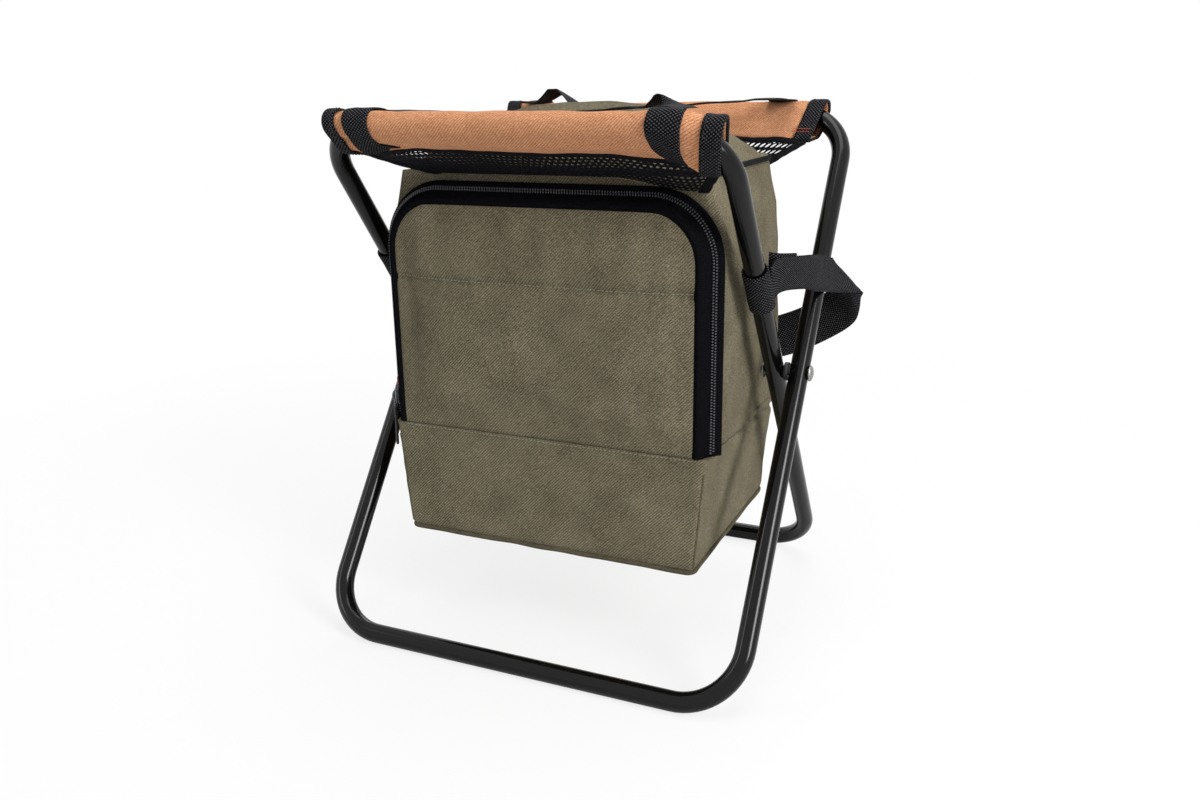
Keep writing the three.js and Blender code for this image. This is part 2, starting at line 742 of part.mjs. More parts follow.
// The padded front door, drawn in along a stitched channel
function doorPanel() {
  const heights = doorHeights(0);
  const low = heights[0];
  const backY = -FRAME_FRONT - GAP - LINER - GAP;
  const back = (i, u) => new THREE.Vector3(u * doorHalf(heights[i], 0), backY, heights[i]);
  const front = (i, u) => {
    const z = heights[i];
    const climb = 2 * (z - low) / (DOOR_TOP - low) - 1;
    const channel = 1 - Math.exp(-(((z - DOOR_CHANNEL_Z) / (DOOR_CHANNEL_W / 2)) ** 2)) * 0.6;
    const crown = DOOR_CROWN * fullness(u, 4) * fullness(climb, 6) * channel;
    return new THREE.Vector3(u * doorHalf(z, 0), -DOOR_EDGE_FRONT - crown, z);
  };
  return pad(DOOR_COLUMNS, DOOR_ROWS, back, front);
}

// The door's liner, a thin sheet behind its padding
function doorLiner() {
  const inset = TAPE_T + LINER;
  const heights = doorHeights(inset);
  const face = (y) => (i, u) => new THREE.Vector3(u * doorHalf(heights[i], inset), y, heights[i]);
  return pad(4, DOOR_ROWS, face(-FRAME_FRONT - GAP), face(-FRAME_FRONT - GAP - LINER));
}

// The chamfer between door and bag: the way across it and off it, seen in plan with the front as +Y
const ZIP_RUN = new THREE.Vector2(TAPE_SPREAD, FRAME_FRONT + GAP - DOOR_EDGE_FRONT);
const ZIP_ACROSS = ZIP_RUN.clone().normalize();
const ZIP_OFF = new THREE.Vector2(-ZIP_ACROSS.y, ZIP_ACROSS.x);

// A spot on the chamfer: how far out from the door's edge, and how far forward of the pivot plane
function onChamfer(distance, off) {
  return new THREE.Vector2(GAP, DOOR_EDGE_FRONT)
    .addScaledVector(ZIP_OFF, TAPE_T)
    .addScaledVector(ZIP_ACROSS, distance)
    .addScaledVector(ZIP_OFF, off);
}

// A strip of zip tape round the door, from a profile of [distance across, distance off]
function zipTape(profile) {
  const paths = profile.map(([distance, off]) => {
    const spot = onChamfer(distance, off);
    const outline = mouthOutline(DOOR_HALF + spot.x, HINGE_Z + GAP, DOOR_TOP + spot.x, DOOR_CORNER_R + spot.x);
    return outline.map(([x, z]) => new THREE.Vector3(x, -spot.y, z));
  });
  return loft(paths[0].map((_, i) => paths.map((path) => path[i])));
}

const ZIP_SEAM = ZIP_RUN.length() * ZIP_SPLIT_share;

// The door's tape, cut back under the parked slider so that the door can swing past it
function doorZipTape() {
  const coil = ZIP_SEAM - ZIP_COIL;
  const edge = ZIP_SEAM - GAP / 2;
  const tape = zipTape([[0, 0], [coil, 0], [coil, ZIP_COIL / 2], [edge, ZIP_COIL / 2], [edge, -TAPE_T], [0, -TAPE_T]]);
  const parked = onZip(
    [-SLIDER_W / 2, -TAPE_T - OVERRUN, HINGE_Z - SLIDER_Z - OVERRUN],
    [ZIP_COIL, ZIP_COIL + OVERRUN, SLIDER_L / 2 + PULL_WIRE + GAP],
  );
  return geometryOf(solid(tape).subtract(solid(parked)));
}

function bagZipTape() {
  const coil = ZIP_SEAM + ZIP_COIL;
  const edge = ZIP_SEAM + GAP / 2;
  const far = ZIP_RUN.length();
  return zipTape([[edge, ZIP_COIL / 2], [coil, ZIP_COIL / 2], [coil, 0], [far, 0], [far, -TAPE_T], [edge, -TAPE_T]]);
}

// A box on the zip's left run, from low to high in its own directions: across, off and up
function onZip(low, high) {
  const seam = onChamfer(ZIP_SEAM, 0);
  const across = new THREE.Vector3(-ZIP_ACROSS.x, -ZIP_ACROSS.y, 0);
  const off = new THREE.Vector3(-ZIP_OFF.x, -ZIP_OFF.y, 0);
  const box = new THREE.BoxGeometry(high[0] - low[0], high[1] - low[1], high[2] - low[2]);
  box.translate((high[0] + low[0]) / 2, (high[1] + low[1]) / 2, (high[2] + low[2]) / 2);
  const basis = new THREE.Matrix4().makeBasis(across, off, new THREE.Vector3().crossVectors(across, off));
  basis.setPosition(-DOOR_HALF - seam.x, -seam.y, SLIDER_Z);
  return box.applyMatrix4(basis);
}

// The slider sits just clear of the coils; its bail stands off the plate and the pull's pin runs through it
const ZIP_FACE = ZIP_COIL / 2 + GAP;
const PLATE_TOP = ZIP_FACE + SLIDER_H;
const BAIL_HALF = SLIDER_L / 2 - PULL_WIRE;
const PIN_OFF = PLATE_TOP + GAP + PULL_WIRE / 2;
const PIN_UP = PULL_WIRE + GAP + PULL_WIRE / 2 - BAIL_HALF;

function zipSlider() {
  const w = SLIDER_W / 2;
  const l = SLIDER_L / 2;
  const wire = PULL_WIRE;
  const eyeTop = PLATE_TOP + wire + 2 * GAP;
  const plate = solid(onZip([-w, ZIP_FACE, -l], [w, PLATE_TOP, l]));
  const nose = solid(onZip([-w / 2, ZIP_FACE, l - GAP], [w / 2, PLATE_TOP - wire / 2, l + wire]));
  const bail = solid(onZip([-wire / 2, PLATE_TOP - GAP, -BAIL_HALF], [wire / 2, eyeTop + wire, BAIL_HALF]));
  const eye = solid(onZip([-wire, PLATE_TOP, wire - BAIL_HALF], [wire, eyeTop, BAIL_HALF - wire]));
  return geometryOf(plate.add(nose).add(bail.subtract(eye)));
}

// The pull: a wire eye through the slider's bail with a moulded cord grip below
function zipPull() {
  const w = PULL_W / 2;
  const half = PULL_WIRE / 2;
  const bar = (from, to, low, high) => solid(onZip([from, PIN_OFF - half, low], [to, PIN_OFF + half, high]));
  const armLow = PIN_UP - PULL_EYE_L;
  const pin = bar(-w, w, PIN_UP - half, PIN_UP + half);
  const left = bar(-w, PULL_WIRE - w, armLow, PIN_UP);
  const right = bar(w - PULL_WIRE, w, armLow, PIN_UP);
  const tip = PIN_UP - PULL_L;
  const grip = solid(onZip([-w, PIN_OFF - PULL_T / 2, tip], [w, PIN_OFF + PULL_T / 2, armLow + half]));
  return geometryOf(pin.add(left).add(right).add(grip));
}

// The padded lid that domes over the bag's rim
function seatLid() {
  const base = BAG_TOP + GAP;
  const half = BAG_HALF_TOP - LID_INSET;
  const near = -FRAME_FRONT + LID_INSET;
  const far = BAG_BACK_TOP - LID_INSET;
  const middle = (near + far) / 2;
  const depth = (far - near) / 2;
  const rowY = (i) => middle + depth * (2 * i / LID_ROWS - 1);
  const halfAt = (y) => {
    const over = Math.max(Math.abs(y - middle) - (depth - LID_CORNER_R), 0);
    return half - LID_CORNER_R + Math.sqrt(Math.max(LID_CORNER_R ** 2 - over ** 2, 0));
  };
  const rise = (i, u) => LID_RISE * fullness(u, 2.6) * fullness(2 * i / LID_ROWS - 1, 2.6);
  const upper = (i, u) => new THREE.Vector3(u * halfAt(rowY(i)), rowY(i), base + LID_EDGE + rise(i, u));
  const lower = (i, u) => new THREE.Vector3(
    u * halfAt(rowY(i)),
    rowY(i),
    base + Math.max(LID_EDGE + rise(i, u) - LID_T, 0),
  );
  return pad(LID_COLUMNS, LID_ROWS, lower, upper);
}

// The corners of a mesh panel: its seam under the sleeve, and its line on the bag's rim
function meshCorners(plane) {
  const start = SLEEVE_DROP + GAP + SEAM_TAPE_H + GAP + MESH_T / 2;
  const seam = inPlane(hungFrom(plane), 0, LEG_LENGTH - start, 0);
  const off = EDGE_TAPE_T / 2;
  const rimY = plane.side > 0 ? BAG_BACK_TOP + off : -FRAME_FRONT - off;
  const rim = new THREE.Vector3(0, rimY, BAG_TOP - MESH_T);
  return { seam, rim };
}

// Points of a mesh panel: u runs across from -1 to 1, t from the seam to the rim, w off its face
function meshPoint(plane, u, t, w) {
  const { seam, rim } = meshCorners(plane);
  const half = MESH_TOP_HALF + (MESH_LOW_HALF - MESH_TOP_HALF) * t;
  const fall = rim.clone().sub(seam).normalize();
  const face = new THREE.Vector3().crossVectors(X_AXIS, fall);
  return seam.clone().lerp(rim, t).setX(u * half).addScaledVector(face, w);
}

// A flat net: strands with square gaps between them
function meshPanel(plane) {
  const ticks = (count) => {
    const list = [0];
    for (let i = 0; i < count; i += 1) {
      list.push((i + MESH_STRAND_share) / (count + MESH_STRAND_share), (i + 1) / (count + MESH_STRAND_share));
    }
    list.push(1);
    return list;
  };
  const [us, ts] = [ticks(MESH_COLUMNS), ticks(MESH_ROWS)];
  const row = us.length;
  const points = [];
  for (const w of [-MESH_T / 2, MESH_T / 2]) {
    for (const t of ts) {
      for (const u of us) {
        points.push(meshPoint(plane, 2 * u - 1, t, w));
      }
    }
  }
  const layer = row * ts.length;
  const faces = [];
  const quad = (a, b, c, d) => faces.push(a, b, c, a, c, d);
  const filled = (i, j) => i >= 0 && j >= 0 && i < ts.length - 1 && j < row - 1 && !(i % 2 === 1 && j % 2 === 1);
  for (let i = 0; i < ts.length - 1; i += 1) {
    for (let j = 0; j < row - 1; j += 1) {
      if (filled(i, j)) {
        const [a, b, c, d] = [i * row + j, i * row + j + 1, (i + 1) * row + j + 1, (i + 1) * row + j];
        quad(a, d, c, b);
        quad(layer + a, layer + b, layer + c, layer + d);
        const sides = [[i - 1, j, a, b], [i, j + 1, b, c], [i + 1, j, c, d], [i, j - 1, d, a]];
        for (const [ni, nj, p, q] of sides) {
          if (!filled(ni, nj)) {
            quad(p, q, layer + q, layer + p);
          }
        }
      }
    }
  }
  return closedBody(points, faces);
}

// A folded tape along a mesh panel's side edge
function meshEdge(plane, hand) {
  const ring = (t) => {
    const half = MESH_TOP_HALF + (MESH_LOW_HALF - MESH_TOP_HALF) * t;
    const [near, far] = [(half + GAP) / half, (half + GAP + EDGE_TAPE_W) / half];
    return [[near, -1], [far, -1], [far, 1], [near, 1]].map(
      ([u, face]) => meshPoint(plane, hand * u, t, face * EDGE_TAPE_T / 2),
    );
  };
  return loft([ring(0), ring(1)]);
}

// A point on a leg's middle line at a height
function onLeg(plane, half, z) {
  return inPlane(plane, half, (z - FLAT_R) / plane.up.z, 0);
}

// A webbing loop round an inner leg
function strapLoop(hand) {
  const inner = TUBE_R + GAP;
  const outer = inner + WEBBING;
  const half = STRAP_WIDTH / 2;
  const profile = [[inner, -half], [outer, -half], [outer, half], [inner, half], [inner, -half]];
  const geometry = new THREE.LatheGeometry(profile.map(([r, s]) => new THREE.Vector2(r, s)), ROUND_SIDES);
  geometry.applyQuaternion(new THREE.Quaternion().setFromUnitVectors(new THREE.Vector3(0, 1, 0), innerPlane.up));
  const middle = onLeg(innerPlane, hand * INNER_HALF, STRAP_LOOP_Z);
  geometry.translate(middle.x, middle.y, middle.z);
  return geometry;
}

// The shoulder strap hangs behind the bag, passing outside both outer legs. Its route after the loop is in
// shares of the outer loop's half width, the seat bars' reach and the seat bars' height.
const STRAP_shares = [
  [0.993, -0.16, 0.703], [1.045, 0.06, 0.7], [1.08, 0.29, 0.692], [1.113, 0.53, 0.68], [1.122, 0.71, 0.663],
  [1.05, 0.81, 0.632], [0.91, 0.85, 0.59], [0.72, 0.865, 0.547], [0.49, 0.88, 0.512], [0.25, 0.885, 0.493],
  [0, 0.885, 0.486],
];

function shoulderStrap() {
  const start = onLeg(innerPlane, INNER_HALF + TUBE_R + GAP + WEBBING + GAP + STRAP_T / 2, STRAP_LOOP_Z);
  const rest = STRAP_shares.map(([x, y, z]) => new THREE.Vector3(x * OUTER_HALF, y * BAR_REACH, z * BAR_HEIGHT));
  const right = [start, ...rest];
  const left = right.slice(0, -1).map((p) => new THREE.Vector3(-p.x, p.y, p.z));
  const curve = new THREE.CatmullRomCurve3([...left, ...right.reverse()]);
  const points = curve.getSpacedPoints(STRAP_STEPS);
  const widths = points.map(() => new THREE.Vector3(0, 0, 1));
  return strap(points, widths, STRAP_WIDTH, STRAP_T);
}

// A small folded tab sewn in the bag's left seam beside the zip
const TAB_LIFT = 27;
const TAB_Z = HINGE_Z + TAB_LIFT;
const TAB_W = 8;
const TAB_L = 7;
const TAB_T = 1.4;

function seamTab() {
  const box = new THREE.BoxGeometry(TAB_L, TAB_T, TAB_W);
  box.translate(-bagHalf(TAB_Z) - GAP - TAB_L / 2, -FRAME_FRONT + BAG_EDGE_R, TAB_Z);
  return box;
}

const stool = new THREE.Group();

function place(name, geometry, color, roughness, metalness = 0) {
  const material = new THREE.MeshStandardMaterial({ color, roughness, metalness });
  const mesh = new THREE.Mesh(geometry, material);
  mesh.name = name;
  stool.add(mesh);
}

function buildSeat(name, plane, half) {
  place(`${name}_sleeve`, sleeve(plane, half), ORANGE, 0.85);
  place(`${name}_seam_tape`, seamTape(plane), BLACK_WEB, 0.9);
  place(`${name}_carry_handle`, carryHandle(plane), BLACK_WEB, 0.9);
  place(`${name}_mesh_panel`, meshPanel(plane), MESH_BLACK, 0.8);
  for (const [side, hand] of [['left', -1], ['right', 1]]) {
    place(`${name}_binding_${side}`, sleeveBinding(plane, half, hand), BLACK_WEB, 0.9);
    place(`${name}_mesh_edge_${side}`, meshEdge(plane, hand), BLACK_WEB, 0.9);
  }
}

function buildPivot(side, hand) {
  place(`pivot_rivet_${side}`, rivet(hand), STEEL, 0.3, 0.9);
  place(`pivot_washer_${side}`, pivotRing(WASHER_D, WASHER_T, INNER_HALF - TUBE_R - GAP - WASHER_T, hand), STEEL, 0.35, 0.9);
  const room = LEG_GAP - 2 * GAP;
  place(`pivot_spacer_${side}`, pivotRing(SPACER_D, room, INNER_HALF + TUBE_R + GAP, hand), NYLON, 0.5);
  place(`strap_loop_${side}`, strapLoop(hand), BLACK_WEB, 0.9);
}

place('outer_tube', drillLegs(tubeLoop(outerPlane, OUTER_HALF)), BLACK_PAINT, 0.25, 0.3);
place('inner_tube', drillLegs(tubeLoop(innerPlane, INNER_HALF)), BLACK_PAINT, 0.25, 0.3);
buildSeat('rear', outerPlane, OUTER_HALF);
buildSeat('front', innerPlane, INNER_HALF);
buildPivot('left', -1);
buildPivot('right', 1);
place('shoulder_strap', shoulderStrap(), BLACK_WEB, 0.9);
place('bag_shell', bagLayer(0, FABRIC), OLIVE, 0.85);
place('bag_insulation', bagLayer(FABRIC + GAP, FOAM - GAP), FOAM_WHITE, 0.9);
place('bag_liner', bagLayer(FABRIC + FOAM + GAP, LINER), SILVER_LINER, 0.4, 0.3);
place('bag_piping', piping(), OLIVE, 0.85);
place('seat_lid', seatLid(), OLIVE, 0.85);
place('seam_tab', seamTab(), CORAL, 0.8);
place('bag_zip_tape', bagZipTape(), BLACK_WEB, 0.8);
place('door_zip_tape', doorZipTape(), BLACK_WEB, 0.8);
place('door_panel', doorPanel(), OLIVE, 0.85);
place('door_liner', doorLiner(), SILVER_LINER, 0.4, 0.3);
place('zip_slider', zipSlider(), STEEL, 0.3, 0.9);
place('zip_pull', zipPull(), BLACK_WEB, 0.6);

export default stool;
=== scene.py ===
# Looks of the folding cooler stool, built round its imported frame, with +Z up and the front towards -Y.
# Sizes are in millimetres and scaled to metres once, where a mesh is made.
import math
import bpy
import numpy as np
from mathutils import Matrix, Vector
from mathutils.bvhtree import BVHTree

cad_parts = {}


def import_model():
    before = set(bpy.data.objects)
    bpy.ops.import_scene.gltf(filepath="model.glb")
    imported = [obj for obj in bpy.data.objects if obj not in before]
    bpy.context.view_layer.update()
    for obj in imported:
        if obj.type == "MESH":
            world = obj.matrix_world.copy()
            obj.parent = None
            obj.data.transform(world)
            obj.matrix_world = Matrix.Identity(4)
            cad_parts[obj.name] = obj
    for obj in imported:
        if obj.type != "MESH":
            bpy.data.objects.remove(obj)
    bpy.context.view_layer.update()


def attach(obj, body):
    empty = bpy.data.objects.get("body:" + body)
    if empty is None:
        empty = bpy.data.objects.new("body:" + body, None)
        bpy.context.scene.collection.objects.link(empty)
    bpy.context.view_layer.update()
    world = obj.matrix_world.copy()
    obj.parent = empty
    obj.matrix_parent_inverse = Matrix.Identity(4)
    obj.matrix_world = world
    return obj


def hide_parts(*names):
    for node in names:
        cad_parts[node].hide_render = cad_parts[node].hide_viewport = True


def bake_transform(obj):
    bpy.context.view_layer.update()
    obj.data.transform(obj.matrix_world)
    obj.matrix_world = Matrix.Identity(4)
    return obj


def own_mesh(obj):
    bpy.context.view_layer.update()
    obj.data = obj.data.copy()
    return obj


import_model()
MM = 0.001
TAU = 2 * math.pi
QUARTER = math.pi / 2
TINY = 1e-9
X = np.array([1.0, 0, 0])
HANDS = (("left", -1), ("right", 1))

# Frame sizes
TUBE_R = 7.85
SOLID_R = 8.0
BEND_R = 48.0
OUTER_HALF = 180.0
INNER_HALF = 160.0
FOOT_REACH = 162.0
BAR_REACH = 147.0
BAR_HEIGHT = 424.0
FOOT_HEIGHT = SOLID_R * math.cos(math.pi / 16)
RISE = BAR_HEIGHT - FOOT_HEIGHT
LEG = math.hypot(RISE, FOOT_REACH + BAR_REACH)
PIVOT_Z = FOOT_HEIGHT + RISE * FOOT_REACH / (FOOT_REACH + BAR_REACH)

# Camera, fitted to the photograph
AZIMUTH, PITCH, ROLL = 24.09, 16.54, 0.70
CAMERA_PLACE = (370.1, -818.5, 449.9)
FOCAL_PX, PHOTO_PX, SENSOR_MM = 1061.8, 1200, 36


def added(name, data):
    """A new object in the scene."""
    obj = bpy.data.objects.new(name, data)
    bpy.context.scene.collection.objects.link(obj)
    return obj


def camera():
    turn = (Matrix.Rotation(math.radians(AZIMUTH), 3, "Z") @ Matrix.Rotation(math.radians(-PITCH), 3, "X")
            @ Matrix.Rotation(math.radians(ROLL), 3, "Y") @ Matrix.Rotation(QUARTER, 3, "X"))
    data = bpy.data.cameras.new("camera")
    data.sensor_width = SENSOR_MM
    data.lens = SENSOR_MM * FOCAL_PX / PHOTO_PX
    data.clip_start, data.clip_end = 0.02, 60
    cam = added("camera", data)
    cam.matrix_world = Matrix.Translation(Vector(CAMERA_PLACE) * MM) @ turn.to_4x4()
    bpy.context.scene.camera = cam


camera()
bpy.context.scene.view_settings.view_transform = "Standard"


# Materials
def node(tree, kind, inputs=(), **settings):
    """A shader node. Its inputs get values or other nodes' outputs, by name or number."""
    made = tree.nodes.new("ShaderNode" + kind)
    for key, value in settings.items():
        setattr(made, key, value)
    for key, value in dict(inputs).items():
        if hasattr(value, "links"):
            tree.links.new(value, made.inputs[key])
        else:
            made.inputs[key].default_value = value
    return made


def calc(tree, operation, *values):
    return node(tree, "Math", enumerate(values), operation=operation).outputs[0]


def linear(rgb):
    """A colour of 0 to 255 on the renderer's linear scale."""
    return tuple((c / 255 / 12.92 if c <= 10 else ((c / 255 + 0.055) / 1.055) ** 2.4) for c in rgb) + (1,)


SURFACE_IOR = 1.45


class Mat:
    """A procedural material in the making."""

    def __init__(self, name, rough, metal=0.0, sheen=0.0, spec=0.5):
        self.material = bpy.data.materials.new(name)
        self.material.use_nodes = True
        self.tree = self.material.node_tree
        self.shader = self.tree.nodes["Principled BSDF"]
        levels = {"Roughness": rough, "Metallic": metal, "Sheen Weight": sheen, "Specular IOR Level": spec,
                  "IOR": SURFACE_IOR}
        for key, level in levels.items():
            self.shader.inputs[key].default_value = level

    def node(self, kind, inputs=(), **settings):
        return node(self.tree, kind, inputs, **settings)

    def calc(self, operation, *values):
        return calc(self.tree, operation, *values)

    def join(self, made, socket):
        self.tree.links.new(made.outputs[0], self.shader.inputs[socket])

    def scaled(self, kind, scale):
        """Coordinates of a kind, times a scale."""
        place = self.node("TexCoord").outputs[kind]
        return self.node("Mapping", {"Vector": place, "Scale": scale}).outputs[0]

    def threads(self, across, along):
        """Coordinates over the surface in turns, for threads this far apart."""
        turns = self.scaled("UV", (TAU / (across * MM), TAU / (along * MM), 1))
        return self.node("SeparateXYZ", {0: turns}).outputs[:2]

    def noise(self, size, detail=2.0, stretch=(1, 1, 1)):
        place = self.scaled("Object", tuple(1 / (size * MM * part) for part in stretch))
        return self.node("TexNoise", {"Vector": place, "Scale": 1, "Detail": detail}).outputs["Fac"]

    def colours(self, shade, *stops):
        """The surface's colour, from stops of shade and colour."""
        made = self.node("ValToRGB", {0: shade})
        for _ in stops[2:]:
            made.color_ramp.elements.new(0.5)
        for element, (place, rgb) in zip(made.color_ramp.elements, stops):
            element.position, element.color = place, linear(rgb)
        self.join(made, "Base Color")

    def wear(self, size, low, high):
        """Roughness that strays between two values."""
        spread = self.node("MapRange", {"Value": self.noise(size, 4), "To Min": low, "To Max": high})
        self.join(spread, "Roughness")

    def bump(self, height, strength, distance):
        made = self.node("Bump", {"Strength": strength, "Distance": distance * MM, "Height": height})
        self.join(made, "Normal")


def canvas(name, dark, mid, light, pitch=1.25, bump=0.5, sheen=0.03, mottle=0.5):
    """Coarse polyester cloth: crossing threads with a diagonal rib, and soft mottling."""
    mat = Mat(name, 0.9, sheen=sheen, spec=0.0)
    u, v = mat.threads(pitch, pitch)
    cross = mat.calc("MULTIPLY", mat.calc("SINE", u), mat.calc("SINE", v))
    rib = mat.calc("SINE", mat.calc("MULTIPLY", mat.calc("SUBTRACT", u, v), 0.5))
    weave = mat.calc("MULTIPLY_ADD", rib, 0.5, mat.calc("MULTIPLY", cross, 0.5))
    thread = mat.noise(0.9)
    slub = mat.noise(1.0, 1, (2.6, 2.6, 0.7))
    cloud = mat.noise(30, 3)
    shade = mat.calc("MULTIPLY_ADD", weave, 0.3, 0.5)
    for part, share in ((thread, 0.8), (slub, 0.5), (cloud, mottle)):
        shade = mat.calc("ADD", shade, mat.calc("MULTIPLY_ADD", part, share, -share / 2))
    mat.colours(shade, (0.15, dark), (0.5, mid), (0.85, light))
    mat.bump(mat.calc("ADD", mat.calc("MULTIPLY_ADD", thread, 0.9, weave), slub), bump, 0.3)
    return mat.material


def webbing(name, dark, light, across=2.5, along=2.9, bump=0.8, spec=0.04):
    """Black webbing with staggered knots."""
    mat = Mat(name, 0.7, spec=spec)
    u, v = mat.threads(across, along)
    knots = mat.calc("MULTIPLY", mat.calc("SINE", u), mat.calc("SINE", v))
    fuzz = mat.noise(1.1)
    shade = mat.calc("MULTIPLY_ADD", knots, 0.42, mat.calc("MULTIPLY_ADD", fuzz, 0.5, 0.14))
    mat.colours(shade, (0.4, dark), (0.9, light))
    mat.bump(mat.calc("MULTIPLY_ADD", fuzz, 0.3, knots), bump, 0.4)
    return mat.material


def plain(name, dark, light, rough, size=3.0, bump=0.2, metal=0.0, depth=0.1, spec=0.5, wear=None):
    """Moulded, painted or metal stock with a fine grain."""
    mat = Mat(name, rough, metal=metal, spec=spec)
    grain = mat.noise(size, 3)
    mat.colours(grain, (0.3, dark), (0.7, light))
    if wear:
        mat.wear(*wear)
    mat.bump(grain, bump, depth)
    return mat.material


OLIVE = canvas("olive_canvas", (64, 58, 46), (110, 103, 84), (156, 148, 124), bump=0.6, mottle=0.3)
OLIVE_SEAM = canvas("olive_piping", (62, 57, 45), (88, 82, 66), (118, 111, 92), pitch=1.0)
ORANGE = canvas("orange_canvas", (166, 102, 66), (214, 149, 108), (244, 192, 152), sheen=0.04, mottle=0.2)
CORAL = canvas("coral_tab", (196, 70, 58), (218, 88, 74), (232, 112, 96), pitch=0.9, sheen=0.12)
WEB = webbing("black_webbing", (7, 7, 9), (104, 104, 108))
TAPE = webbing("binding_tape", (8, 8, 10), (62, 62, 68), across=1.2, along=1.4, bump=0.5)
ZIP = webbing("zip_tape_weave", (8, 8, 10), (44, 44, 50), across=0.9, along=3.2, bump=0.5, spec=0.0)
NET = plain("net_cord", (10, 10, 12), (30, 31, 35), 0.6, size=0.8, bump=0.4, spec=0.06)
PAINT = plain("black_powder_coat", (5, 5, 6), (9, 9, 10), 0.14, size=1.3, bump=0.03, depth=0.04, spec=0.3,
              wear=(30, 0.1, 0.18))
STEEL = plain("rivet_steel", (120, 120, 118), (170, 169, 164), 0.34, size=1.1, bump=0.12, metal=1.0,
              wear=(3, 0.26, 0.48))
DARK_METAL = plain("slider_metal", (74, 74, 78), (122, 122, 128), 0.3, size=0.9, bump=0.1, metal=1.0,
                   wear=(2, 0.22, 0.42))
NYLON = plain("spacer_nylon", (20, 20, 22), (30, 30, 33), 0.5, size=1.0, bump=0.15)
TEETH = plain("zip_teeth", (58, 58, 62), (112, 112, 118), 0.38, size=0.7, bump=0.1)
SILVER = plain("silver_liner", (186, 189, 194), (214, 217, 221), 0.33, size=16, bump=0.5, metal=0.55,
               depth=0.8, wear=(22, 0.24, 0.5))
FOAM = plain("white_foam", (226, 225, 219), (242, 241, 236), 0.9, size=1.4, bump=0.3, depth=0.2)
THREAD = plain("olive_thread", (116, 118, 96), (158, 158, 134), 0.7, size=0.5)
DARK_THREAD = plain("olive_thread_dark", (52, 54, 42), (84, 86, 68), 0.7, size=0.5)
BLACK_THREAD = plain("black_thread", (26, 26, 30), (52, 52, 58), 0.7, size=0.5)
RED_THREAD = plain("bartack_thread", (178, 74, 48), (206, 98, 66), 0.7, size=0.5)


# Meshes
def ease(t):
    """A smooth step from 0 to 1."""
    t = np.clip(t, 0, 1)
    return t * t * (3 - 2 * t)


def hill(t):
    """A bell curve of height 1."""
    return np.exp(-t ** 2)


def unit(vectors):
    return vectors / np.maximum(np.linalg.norm(vectors, axis=-1, keepdims=True), TINY)


def run_of(points):
    """The distance along a line at each of its points."""
    return np.concatenate([[0], np.cumsum(np.linalg.norm(np.diff(points, axis=0), axis=1))])


def ripple(points, wave, seed, squeeze=(1, 1, 1), waves=18):
    """Smooth noise of about unit size over points, its waves this long."""
    rng = np.random.default_rng(seed)
    ways = unit(rng.normal(size=(waves, 3))) * (TAU / wave) * rng.uniform(0.6, 1.5, (waves, 1))
    turn = rng.uniform(0, TAU, waves)
    squeezed = np.asarray(points, float) * np.array(squeeze, float)
    return np.cos(squeezed @ ways.T + turn).sum(-1) * math.sqrt(2 / waves) * 0.7


def grid(points, ring=False, loop=False):
    """Vertices, quads and surface coordinates of rows. ring closes each row, loop joins last to first."""
    rows, columns = points.shape[:2]
    i, j = np.meshgrid(np.arange(rows if loop else rows - 1), np.arange(columns if ring else columns - 1),
                       indexing="ij")
    i2, j2 = (i + 1) % rows, (j + 1) % columns
    quads = np.stack([i * columns + j, i * columns + j2, i2 * columns + j2, i2 * columns + j], -1)
    across = np.concatenate([points, points[:, :1]], 1) if ring else points
    down = np.concatenate([points, points[:1]], 0) if loop else points
    u = np.concatenate([[0], np.cumsum(np.linalg.norm(np.diff(across, axis=1), axis=2).mean(0))])
    v = np.concatenate([[0], np.cumsum(np.linalg.norm(np.diff(down, axis=0), axis=2).mean(1))])
    uv = np.stack([np.stack([u[j + a], v[i + b]], -1) for a, b in ((0, 0), (1, 0), (1, 1), (0, 1))], 2)
    return points.reshape(-1, 3), [tuple(quad) for quad in quads.reshape(-1, 4).tolist()], uv.reshape(-1, 2)


def capped(mesh, *rims):
    """A mesh with a flat face on each of its rims."""
    verts, faces, uv = mesh
    corners = sum(len(rim) for rim in rims)
    return verts, faces + [tuple(rim) for rim in rims], np.concatenate([uv, np.zeros((corners, 2))])


def bar_of(rings):
    """A bar from its rings, with flat ends."""
    size = rings.shape[1]
    count = len(rings) * size
    return capped(grid(rings, True), range(size)[::-1], range(count - size, count))


def merged(*meshes):
    """Several meshes as one."""
    faces, base = [], 0
    for verts, part, _ in meshes:
        faces += [tuple(k + base for k in face) for face in part]
        base += len(verts)
    return np.concatenate([mesh[0] for mesh in meshes]), faces, np.concatenate([mesh[2] for mesh in meshes])


def boxed(data, verts):
    """Surface coordinates that follow each face's main direction."""
    normals = np.zeros(len(data.polygons) * 3, np.float32)
    data.polygons.foreach_get("normal", normals)
    counts = np.zeros(len(data.polygons), np.int32)
    data.polygons.foreach_get("loop_total", counts)
    corner = np.zeros(len(data.loops), np.int32)
    data.loops.foreach_get("vertex_index", corner)
    main = np.repeat(np.abs(normals.reshape(-1, 3)).argmax(1), counts)
    others = np.array([(1, 2), (0, 2), (0, 1)])[main]
    return np.take_along_axis(np.asarray(verts)[corner], others, 1)


